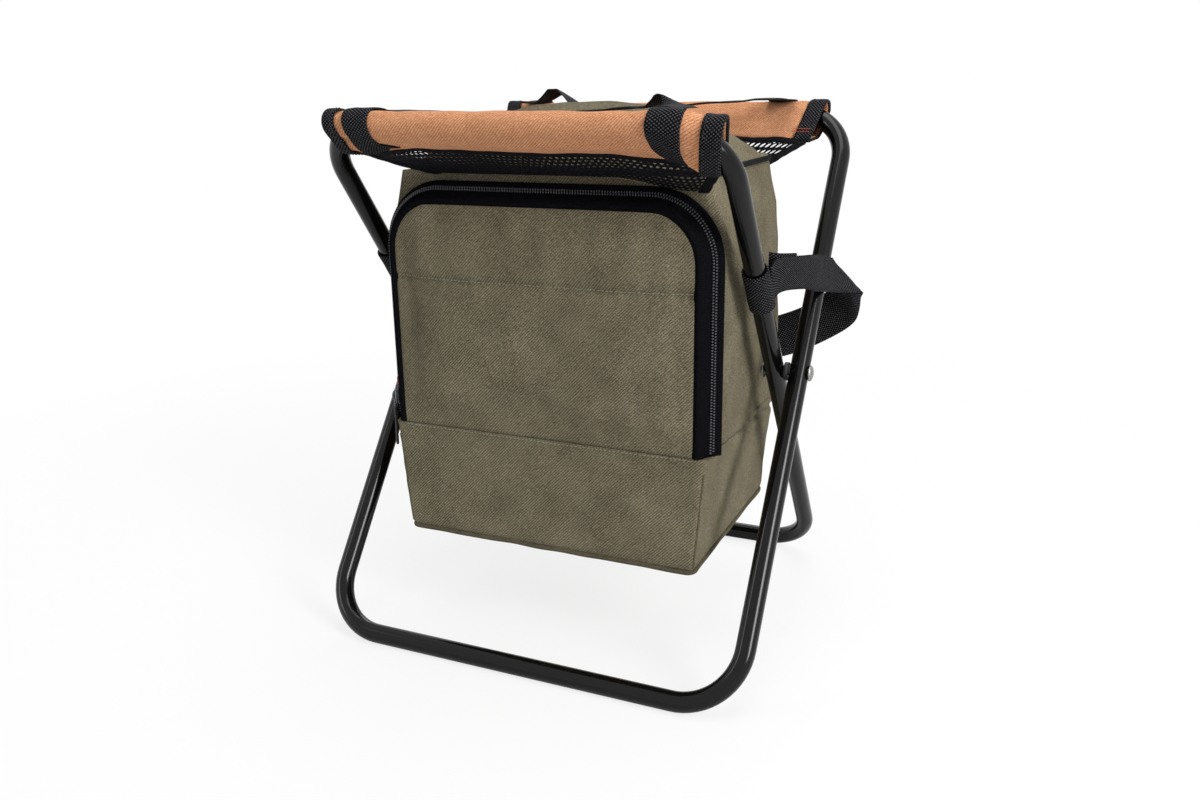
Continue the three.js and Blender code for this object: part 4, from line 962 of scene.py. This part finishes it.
def bag_seams():
    """Piping round the bottom, the dark line round the sides and the back, and the foot's corner seams."""
    _, skin = bag_grid(0.0)
    ring = skin[3] * (0.986, 0.983, 0) + (0, 0, 86.0)
    ring[:, 2] += 0.35 * ripple(ring, 46, 14)
    piece("bottom_piping", tube_along(ring, 2.1, 10, True, 0.9), OLIVE_SEAM, "cooler_bag", "bag_piping",
          slot="bag_olive")
    line = []
    for k in range(FRONT_N + CORNER_N - 2, skin.shape[1] - CORNER_N + 2):
        column = skin[3:-2, k]
        z = float(seam_height(column[30, 1]))
        spot = np.array([np.interp(z, column[:, 2], column[:, axis]) for axis in (0, 1)])
        line.append([*(spot * (1 - 0.1 / np.linalg.norm(spot))), z])
    piece("side_seam", tube_along(line, 0.6, 6), DARK_THREAD, "cooler_bag")
    for side, hand in HANDS:
        k = FRONT_N + CORNER_N // 2 if hand > 0 else skin.shape[1] - CORNER_N // 2
        line = skin[2:26, k] + (-hand * 0.5, 0.5, 0)
        line[:, 0] += 0.35 * ripple(line, 17, 15)
        piece("foot_seam_" + side, tube_along(line, 1.25), OLIVE_SEAM, "cooler_bag")


bag_seams()

# Zip round the door, on the slope between the door and the bag
DOOR_HALF, DOOR_TOP, DOOR_LOW, DOOR_R = 128.0, 363.0, 180.3, 38.0
DOOR_FRONT, DOOR_BACK, DOOR_CROWN = 106.7, 89.8, 4.2
CHANNEL_Z, CHANNEL_SAG = 303.5, 1.0
RUN = np.array([14.0, -18.4])
LENGTH = float(np.linalg.norm(RUN))
ACROSS = RUN / LENGTH
OFF = np.array([-ACROSS[1], ACROSS[0]])
SEAM = LENGTH * 0.62


def zip_line(distance, off):
    """A line round the door's edge: distance down the slope from the door and off it."""
    out, forwards = np.array([0.3, DOOR_FRONT]) + OFF * 1.4 + ACROSS * distance + OFF * off
    outline = arch(DOOR_HALF + out, DOOR_LOW, DOOR_TOP + out, DOOR_R + out, 16)
    points = [outline[0]]
    for (x0, z0), (x1, z1) in zip(outline, outline[1:]):
        count = max(int(math.hypot(x1 - x0, z1 - z0) / 6), 1)
        points += [(x0 + (x1 - x0) * k / count, z0 + (z1 - z0) * k / count) for k in range(1, count + 1)]
    return np.array([(x, -forwards, z) for x, z in points])


def tape(name, profile, body, *nodes):
    rows = []
    for distance, off in profile:
        line = zip_line(distance, off)
        spots = np.linspace(0, len(line) - 1, 190)
        rows.append([np.interp(spots, np.arange(len(line)), line[:, axis]) for axis in range(3)])
    piece(name, grid(np.array(rows).transpose(2, 0, 1), True), ZIP, body, *nodes, slot="zip_black")


DOOR_TAPE = [(-0.8, -3.6), (0, 0.6), (1, 1.3), (3, 1.7), (5.5, 1.6), (7, 0.9), (8, 0.35), (SEAM - 2.6, 0.2),
             (SEAM - 0.3, 0.2), (SEAM - 0.3, -1.2), (8, -1.3), (3, -2.4)]
BAG_TAPE = [(SEAM + 0.3, 0.2), (SEAM + 2.6, 0.2), (LENGTH - 4.6, 0.35), (LENGTH - 3.4, 1.0),
            (LENGTH - 1.6, 1.5), (LENGTH, 1.0), (LENGTH + 0.8, -0.2), (LENGTH, -1.3), (SEAM + 0.3, -1.2)]
FLAP = [(SEAM - 5, -1.7), (SEAM + 4.5, -1.7), (SEAM + 4.5, -2.3), (SEAM - 5, -2.3)]
tape("door_zip", DOOR_TAPE, "door", "door_zip_tape")
tape("bag_zip", BAG_TAPE, "cooler_bag", "bag_zip_tape")
tape("zip_flap", FLAP, "cooler_bag")


def coil(name, side, body, pitch=2.2):
    """A row of teeth beside the seam. The door's row leaves room for the parked slider."""
    at, ahead = resample(zip_line(SEAM + side * 1.3, 0.95), pitch)
    if side > 0:
        at = at + ahead * pitch / 2
    keep = at[:, 2] > 183
    if side < 0:
        keep &= (at[:, 0] >= 0) | (at[:, 2] >= 208)
    at, ahead = at[keep], ahead[keep]
    up = unit(np.stack([np.sign(at[:, 0]) * OFF[0] * np.abs(ahead[:, 2]), np.full(len(at), -OFF[1]),
                        OFF[0] * np.abs(ahead[:, 0])], -1))
    piece(name, beads(at, np.cross(ahead, up), up, (1.05, 0.58, 0.9)), TEETH, body, slot="zip_black")


coil("door_zip_coil", -1, "door")
coil("bag_zip_coil", 1, "cooler_bag")


# Padded pieces
def swell(pad, voxel, pressure, frames=20):
    """A ray-castable copy of a closed pad after air has been blown into it."""
    data = bpy.data.meshes.new("pad_trial")
    data.from_pydata((pad[0] * MM).tolist(), [], pad[1])
    obj = added("pad_trial", data)
    remesh = obj.modifiers.new("remesh", "REMESH")
    remesh.mode, remesh.voxel_size = "VOXEL", voxel * MM
    fine = bpy.data.meshes.new_from_object(obj.evaluated_get(bpy.context.evaluated_depsgraph_get()))
    obj.modifiers.clear()
    obj.data = fine
    cloth = obj.modifiers.new("cloth", "CLOTH")
    settings = {"quality": 6, "mass": 0.3, "tension_stiffness": 18, "compression_stiffness": 18,
                "shear_stiffness": 8, "bending_stiffness": 2, "use_pressure": True,
                "uniform_pressure_force": pressure}
    for key, value in settings.items():
        setattr(cloth.settings, key, value)
    cloth.settings.effector_weights.gravity = 0
    cloth.point_cache.frame_start, cloth.point_cache.frame_end = 1, frames
    for number in range(1, frames + 1):
        bpy.context.scene.frame_set(number)
    done = obj.evaluated_get(bpy.context.evaluated_depsgraph_get())
    mesh = done.to_mesh()
    places, faces = [v.co.copy() for v in mesh.vertices], [tuple(p.vertices) for p in mesh.polygons]
    tree = BVHTree.FromPolygons(places, faces)
    done.to_mesh_clear()
    bpy.context.scene.frame_set(1)
    bpy.data.objects.remove(obj)
    return tree


def cast(tree, points, direction, start=60):
    """How far a pad's surface lies beyond each point of a grid. A miss counts as nan."""
    way = Vector(direction)
    far = []
    for point in points.reshape(-1, 3):
        place, _, _, distance = tree.ray_cast(Vector(point) * MM - way * start * MM, way, 1.0)
        far.append(math.nan if place is None else distance / MM - start)
    return np.array(far).reshape(points.shape[:-1])


def calmed(heights, rounds):
    """A height grid with its sharp steps averaged away."""
    for _ in range(rounds):
        wide = np.pad(heights, 1, mode="edge")
        heights = (wide[:-2, 1:-1] + wide[2:, 1:-1] + wide[1:-1, :-2] + wide[1:-1, 2:]) / 4
    return heights


def pad_of(front, back):
    """The boxed mesh of a closed pad: a first grid, a second behind it, and the rim between."""
    rows, columns = front.shape[:2]
    k = rows * columns
    _, faces, _ = grid(front)
    faces += [(k + a, k + d, k + c, k + b) for a, b, c, d in faces]
    for a in range(columns - 1):
        b = (rows - 1) * columns + a
        faces += [(a, k + a, k + a + 1, a + 1), (b, b + 1, k + b + 1, k + b)]
    for a in range(0, (rows - 1) * columns, columns):
        b, n = a + columns - 1, columns
        faces += [(a, a + n, k + a + n, k + a), (b, k + b, k + b + n, b + n)]
    return np.concatenate([front.reshape(-1, 3), back.reshape(-1, 3)]), faces, None


def bunched(count, turn):
    """Shares from -1 to 1 that lie closer together at both ends."""
    return np.sin(np.linspace(-1, 1, count) * turn) / math.sin(turn)


def door_half(z, inset=0.0):
    radius = DOOR_R - inset
    over = np.clip(z - (DOOR_TOP - DOOR_R), 0, radius)
    return DOOR_HALF - DOOR_R + np.sqrt(np.maximum(radius * radius - over ** 2, 0))


def door_levels(inset, straight, bend):
    """Heights up the door, closer together round its corners."""
    start = DOOR_TOP - DOOR_R
    over = (DOOR_R - inset) * np.sin(np.linspace(0, QUARTER, bend))
    return np.concatenate([np.linspace(DOOR_LOW + inset, start, straight)[:-1], start + over])


def door_dome(u, z):
    """A share from 0 at the door's edges to 1 in its middle."""
    climb = 2 * (z - DOOR_LOW) / (DOOR_TOP - DOOR_LOW) - 1
    return (1 - np.abs(u) ** 4) * (1 - np.abs(climb) ** 6)


def channel_z(x):
    """The height of the channel that is sewn across the door."""
    return CHANNEL_Z - CHANNEL_SAG * (1 - (x / DOOR_HALF) ** 2)


def door_puff(us, zs, points, edge):
    """How far air blown into the door brings its front forwards."""
    u, z = np.meshgrid(us[::4], zs[::4])
    front = np.stack([u * door_half(z), -104.5 - 2 * door_dome(u, z), z], -1)
    tree = swell(pad_of(front, front * (1, 0, 1) + (0, -90.0, 0)), 5.0, 4.0)
    far = cast(tree, points, (0, 1, 0))
    return calmed(np.nan_to_num(np.clip(-far, -2.0, 5.0), nan=0.0), 8) * ease(edge / 30) * 0.8


def door_pad():
    """The door's cloth and filling. It returns the grid of its front."""
    us, zs = bunched(97, 1.35), door_levels(0, 60, 15)
    u, z = np.meshgrid(us, zs)
    half = door_half(z)
    x = u * half
    rim = np.maximum(np.minimum(half - np.abs(x), DOOR_TOP - z), 0)
    edge = np.minimum(rim, z - DOOR_LOW)
    rounding = 1.6 * (1 - np.sqrt(np.clip(1 - (1 - np.minimum(rim / 3.0, 1)) ** 2, 0, 1)))
    y = rounding - DOOR_FRONT - DOOR_CROWN * door_dome(u, z)
    y = y - door_puff(us, zs, np.stack([x, y, z], -1), edge)
    front = np.stack([x, y, z], -1)

    def pulls(wave, seed, across=1.0, up=1.0):
        return ripple(np.stack([x * across, 0 * x, z * up], -1), wave, seed)

    # the sewn channel, gathers below the zip and slow unevenness of the filling
    seam_z, under = channel_z(x), DOOR_TOP - z
    groove = 3.4 * hill((z - seam_z) / 4.6) * ease(edge / 5) + 0.3 * hill((z - DOOR_LOW) / 4)
    gathers = (1.3 * pulls(22, 22, up=0.1) * np.exp(-np.maximum(under - 4, 0) / 26)
               + 0.8 * pulls(11, 28, up=0.15) * np.exp(-np.maximum(under - 3, 0) / 9))
    near = 0.5 * ripple(front, 13, 25, (1, 1, 0.35)) * (hill((z - seam_z) / 10) + hill((z - 184) / 12))
    slow = 0.75 * ripple(front, 90, 23) + 0.3 * ripple(front, 36, 24)
    side_pull = 0.4 * pulls(28, 26, across=0.15) * np.exp(-edge / 16)
    front[..., 1] += groove - (gathers + near + slow + side_pull) * ease(edge / 10)
    back = np.stack([x, np.full_like(x, -DOOR_BACK), z], -1)
    obj = piece("door_pad", pad_of(front, back), OLIVE, "door", "door_panel", slot="bag_olive")
    return front


def door_line(door, z_of, half, lift, count=110):
    """A line across the door's front, evened out."""
    points = []
    for x in np.linspace(-half, half, count):
        nearest = np.argmin((door[..., 0] - x) ** 2 + (door[..., 2] - z_of(x)) ** 2)
        points.append((x, door.reshape(-1, 3)[nearest, 1] - lift, z_of(x)))
    points = np.array(points)
    points[:, 1] = np.convolve(np.pad(points[:, 1], 3, mode="edge"), np.ones(7) / 7, mode="valid")
    return points


def door_lining(inset=2.4):
    u, z = np.meshgrid(np.linspace(-1, 1, 50), door_levels(inset, 30, 12))
    x = u * door_half(z, inset)
    points = np.stack([x, -89.0 + 0.3 * ripple(np.stack([x, 0 * x, z], -1), 30, 27), z], -1)
    thick(piece("door_lining", grid(points[:, ::-1]), SILVER, "door", "door_liner", slot="liner_silver"), 0.8)


channel = door_line(door_pad(), lambda x: channel_z(x) + 1.5, 126.5, 0.4)
stitches("channel_stitches", [channel], THREAD, "door", (0, -1, 0))
door_lining()
hinge_line = [(x, FOOT_FRONT - 0.6, 178.7 - 0.5 * (1 - (x / 130) ** 2)) for x in np.linspace(-126, 126, 88)]
stitches("hinge_stitches", [hinge_line], THREAD, "cooler_bag", (0, -1, 0))


# Seat lid
def lid_pad():
    half, near, far, base, corner = 129.0, -87.0, 97.0, 386.3, 24.0
    middle, depth = (near + far) / 2, (far - near) / 2
    us, vs = bunched(81, 1.4), bunched(61, 1.4)

    def place(u, v):
        y = middle + depth * v
        over = np.maximum(np.abs(y - middle) - (depth - corner), 0)
        width = half - corner + np.sqrt(np.maximum(corner ** 2 - over ** 2, 0))
        rise = 43 * (1 - np.abs(u) ** 2.6) * (1 - np.abs(v) ** 2.6)
        return np.stack([u * width, y, base + 5 + rise], -1), width

    def underside(top, thickness):
        low = top.copy()
        low[..., 2] = np.maximum(top[..., 2] - thickness, base)
        return low

    top, width = place(*np.meshgrid(us, vs))
    edge = np.minimum(width - np.abs(top[..., 0]), depth - np.abs(top[..., 1] - middle))
    coarse, _ = place(*np.meshgrid(us[::4], vs[::4]))
    tree = swell(pad_of(coarse - (0, 0, 3), underside(coarse, 11)), 6.0, 3.0)
    puff = np.nan_to_num(np.clip(-cast(tree, top, (0, 0, -1)), -3, 3), nan=0.0)
    top[..., 2] += puff * ease(edge / 16) * 0.8
    top[..., 2] += (0.8 * ripple(top, 70, 41) + 0.35 * ripple(top, 26, 42)) * ease(edge / 12)
    top[..., 2] += 0.8 * ripple(top, 14, 43) * np.exp(-np.maximum(edge - 3, 0) / 9) * ease(edge / 4)
    top[..., 2] -= 1.6 * hill((edge - 9) / 2.2)
    obj = piece("lid_pad", pad_of(top, underside(top, 8)), OLIVE, "cooler_bag", "seat_lid", slot="bag_olive")
    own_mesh(obj)
    # piping round its rim
    rim = []
    for sx, sy, start in ((1, -1, -QUARTER), (1, 1, 0), (-1, 1, QUARTER), (-1, -1, math.pi)):
        for a in np.linspace(start, start + QUARTER, 9):
            x = sx * (half - corner) + corner * math.cos(a)
            y = middle + sy * (depth - corner) + corner * math.sin(a)
            rim.append((x, y, 389.0 + 0.4 * math.sin(x / 17) * math.cos(y / 13)))
    piece("lid_piping", tube_along(rim, 2.3, 10, True), TAPE, "cooler_bag", slot="webbing_black")


lid_pad()

# Zip slider, pull and seam tab
SLIDER_PLACE = np.array([-138.09, -96.14, 199.0])


def on_zip(across, off, up):
    """Spots across the zip, off it and up it from the parked slider."""
    across, off, up = (np.asarray(part, float)[..., None] for part in (across, off, up))
    return SLIDER_PLACE - across * (*ACROSS, 0) - off * (*OFF, 0) + up * (0, 0, 1.0)


def slab(outline, levels):
    """A pressed plate from an outline and a list of height and inset."""
    outline = np.array(outline, float)
    centre = outline.mean(0)
    far = np.linalg.norm(outline - centre, axis=1, keepdims=True)
    rows = []
    for off, inset in levels:
        points = centre + (outline - centre) * (1 - inset / far)
        rows.append(on_zip(points[:, 0], np.full(len(points), off), points[:, 1]))
    return bar_of(np.array(rows))


def rounded(points, radius=0.8, steps=4):
    """A polygon with rounded corners."""
    points = np.array(points, float)
    out = []
    for corner, a, b in zip(points, np.roll(points, 1, 0), np.roll(points, -1, 0)):
        start, end = corner + unit(a - corner) * radius, corner + unit(b - corner) * radius
        for t in np.linspace(0, 1, steps):
            out.append((1 - t) ** 2 * start + 2 * t * (1 - t) * corner + t * t * end)
    return out


def slider():
    right = [(3.1, -6.4), (4.4, 1.5), (4.4, 5.6), (2.2, 7.4)]
    plate = rounded([(-3.1, -6.4), *right, *((-x, z) for x, z in right[:0:-1])], 1.2)
    lower = slab(plate, [(1.95, 0.5), (2.0, 0.1), (2.3, 0), (2.45, 0.4)])
    waist = slab(rounded([(-1.6, -5), (1.6, -5), (2.4, 5), (-2.4, 5)]), [(2.2, 0), (3.6, 0)])
    upper = slab(plate, [(3.5, 0.4), (3.7, 0), (4.2, 0.05), (4.5, 0.6)])
    bail = [on_zip(0, 4.3 + 2.5 * math.sin(a), -0.2 - 4.8 * math.cos(a)) for a in np.linspace(0, math.pi, 15)]
    parts = merged(lower, waist, upper, tube_along(bail, 0.65))
    piece("slider_body", parts, DARK_METAL, "slider", "zip_slider", slot="slider_metal")


def pull():
    """A wire eye, and a moulded grip that hangs from it."""
    off = 5.4
    eye = [on_zip(2.15 * math.sin(a), off, -6.4 + 3.6 * math.cos(a) * (1.0 if math.cos(a) > 0 else 1.15))
           for a in np.linspace(0, TAU, 25)[:-1]]
    piece("pull_eye", tube_along(eye, 0.62, 8, True), DARK_METAL, "pull", "zip_pull", slot="slider_metal")
    # the grip's height, half width and half thickness
    levels = ((-10.2, 1.2, 0.9), (-10.6, 1.9, 1.15), (-12.5, 2.3, 1.25), (-15, 1.9, 1.15), (-17, 1.75, 1.1),
              (-24, 1.8, 1.1), (-30, 2.0, 1.15), (-32, 2.5, 1.25), (-38, 2.75, 1.3), (-42, 2.6, 1.25),
              (-43.2, 1.6, 0.8), (-43.4, 0.4, 0.2))
    turn = np.arange(14) * TAU / 14
    c, s = (np.sign(wave) * np.abs(wave) ** 0.7 for wave in (np.cos(turn), np.sin(turn)))
    rows = np.array([on_zip((wide + 0.12 * math.sin(up * 2.4)) * c, off + thin * s, np.full(14, float(up)))
                     for up, wide, thin in levels])
    fine = [a * (1 - t) + b * t for a, b in zip(rows, rows[1:]) for t in (0, 0.25, 0.5, 0.75)] + [rows[-1]]
    piece("pull_grip", grid(np.array(fine)[::-1], True), NYLON, "pull", slot="pull_black")


def seam_tab():
    """A folded coral tab in the left seam."""
    line = [(-139.6 - 10.4 * math.sin(a) ** 0.8, -83 - 0.75 * math.cos(a), 207)
            for a in math.pi * np.linspace(0, 1, 19)]
    piece("coral_tab", ribbon(line, [(0, 0, 1)] * len(line), 8, 0.7), CORAL, "cooler_bag", "seam_tab",
          slot="tab_coral")


slider()
pull()
seam_tab()

# Shoulder strap
# its upper and lower edges, from the right leg over the diagonal fold to the middle of the back
UPPER = ((168.6, -52, 320), (170.4, -40, 324), (182, -14, 322.5), (187.5, 14, 319.5), (191, 44, 313),
         (191.4, 50, 311), (190.6, 70, 301), (178, 119, 275), (155, 125, 256), (124, 127, 242),
         (84, 129, 232), (45, 130, 224.5), (0, 130, 221))
LOWER = ((168, -52, 286), (170.4, -37, 297), (181.5, -8, 295.5), (187.8, 14, 290), (195.5, 60, 281.5),
         (206, 108, 273), (205.2, 113, 268), (200, 119, 245), (173, 125, 224), (136, 127, 206),
         (92, 129, 196), (45, 130, 189), (0, 130, 185))
# the strap's other layer comes round behind each leg and is sewn to the first
END_LAYER = ((162.5, -40, 328), (167.5, -38, 327), (172.5, -31, 326), (178.5, -20, 325))


def catmull(points, per=12):
    """A smooth curve through points."""
    p = [np.array(point, float) for point in points]
    p = [2 * p[0] - p[1]] + p + [2 * p[-1] - p[-2]]
    out = []
    for a, b, c, d in zip(p, p[1:], p[2:], p[3:]):
        for t in np.linspace(0, 1, per, endpoint=False):
            square, cube = (2 * a - 5 * b + 4 * c - d) * t * t, (3 * b - 3 * c + d - a) * t ** 3
            out.append(0.5 * (2 * b + (c - a) * t + square + cube))
    return np.array(out + [p[-2]])


def strip(upper, lower, columns=9, wave=0.5):
    """A strap between its two edges."""
    share = np.linspace(0, 1, columns)[None, :, None]
    return grid(rippled(upper[:, None] * (1 - share) + lower[:, None] * share, 34, 61, wave))


def strap():
    edges = [catmull([(-x, y, z) for x, y, z in edge[:-1]] + list(edge[::-1])) for edge in (UPPER, LOWER)]
    obj = thick(shape("strap_band", strip(*edges), WEB), 1.7, 0)
    stands_for(obj, ["shoulder_strap"])
    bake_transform(obj)


def strap_loop(side, hand):
    """The webbing round an inner leg, and the strap's end sewn to it."""
    middle = INN.at(hand * INNER_HALF, (BAR_HEIGHT * 0.715 - FOOT_HEIGHT) / INN.up[2], 0)
    turn = np.arange(40) * TAU / 40
    bulge = 1.0 + 0.05 * np.maximum(np.cos(turn) * hand, 0) ** 4
    wall = [(up, 10.0) for up in np.linspace(-18.4, 18.4, 9)]
    levels = [(-19, 8.4), (-19, 9.6), *wall, (19, 9.6), (19, 8.4), (0, 8.3)]
    rings = np.array([middle + INN.up * up + (radius * bulge * np.cos(turn))[:, None] * X
                      + (radius * np.sin(turn))[:, None] * np.cross(INN.up, X) for up, radius in levels])
    rings[2:-3, :, 1] -= ripple(rings[2:-3], 15, 63 + hand) * 0.25
    piece("strap_sleeve_" + side, grid(rings, True, True), WEB, "frame_inner", "strap_loop_" + side,
          slot="webbing_black")
    layer = np.array(END_LAYER) * (hand, 1, 1)
    end = layer + (-1.5 * hand, 5.0, -17.0)
    thick(piece("strap_end_" + side, strip(catmull(layer, 6), catmull(end, 6), 5, 0.2), WEB, "frame_inner",
                slot="webbing_black"), 1.5, 0)


strap()
for side, hand in HANDS:
    strap_loop(side, hand)

# Floor, world and lamps, in metres
FLOOR_HALF, FLOOR_Z = 3.0, -0.0005
AIM = (0, 0, 0.25)


def floor():
    """A white floor that takes the stool's shadow and fades away from it."""
    data = bpy.data.meshes.new("floor")
    corners = [(a * FLOOR_HALF, b * FLOOR_HALF, FLOOR_Z) for a, b in ((-1, -1), (1, -1), (1, 1), (-1, 1))]
    data.from_pydata(corners, [], [(0, 1, 2, 3)])
    material = bpy.data.materials.new("floor_white")
    material.use_nodes = True
    tree = material.node_tree
    tree.nodes.clear()
    place = node(tree, "TexCoord").outputs["Object"]
    far = node(tree, "VectorMath", {0: place}, operation="LENGTH").outputs["Value"]
    fade = node(tree, "MapRange", {"Value": far, "From Min": 0.35, "From Max": 1.1}).outputs[0]
    white = node(tree, "BsdfDiffuse", {"Color": (0.93, 0.93, 0.93, 1)}).outputs[0]
    clear = node(tree, "BsdfTransparent").outputs[0]
    faded = node(tree, "MixShader", {0: fade, 1: white, 2: clear}).outputs[0]
    # the camera sees the shadow lightly, as on a white sweep
    share = calc(tree, "MULTIPLY", node(tree, "LightPath").outputs["Is Camera Ray"], 0.8)
    glow = node(tree, "Emission").outputs[0]
    seen = node(tree, "MixShader", {0: share, 1: faded, 2: glow}).outputs[0]
    node(tree, "OutputMaterial", {0: seen})
    data.materials.append(material)
    added("floor", data)


def world():
    """White to the camera, in mirrors and through glass, and dimmer as a light."""
    studio = bpy.data.worlds.new("studio")
    bpy.context.scene.world = studio
    studio.use_nodes = True
    tree = studio.node_tree
    path = node(tree, "LightPath").outputs
    seen = calc(tree, "MAXIMUM", path["Is Camera Ray"], path["Is Glossy Ray"])
    seen = calc(tree, "MAXIMUM", seen, path["Is Transmission Ray"])
    level = node(tree, "MapRange", {"Value": seen, "To Min": 0.34, "To Max": 1.0}).outputs[0]
    back = tree.nodes["Background"]
    back.inputs[0].default_value = (1, 1, 1, 1)
    tree.links.new(level, back.inputs[1])


def lamp(name, place, width, height, power):
    data = bpy.data.lights.new(name, "AREA")
    data.shape = "RECTANGLE"
    data.size, data.size_y = width, height
    data.energy = power
    obj = added(name, data)
    obj.location = place
    obj.rotation_euler = (Vector(AIM) - Vector(place)).to_track_quat("-Z", "Y").to_euler()


floor()
world()
lamp("key", (2.15, -0.95, 1.35), 0.9, 1.4, 40)
lamp("strip", (2.0, -0.95, 1.1), 0.2, 1.3, 11)
lamp("top", (0.2, 0.1, 2.4), 1.5, 1.2, 20)
lamp("fill", (-1.7, -1.3, 1.1), 0.3, 1.4, 6)
lamp("rim", (-0.5, 2.0, 1.6), 1.4, 0.5, 10)
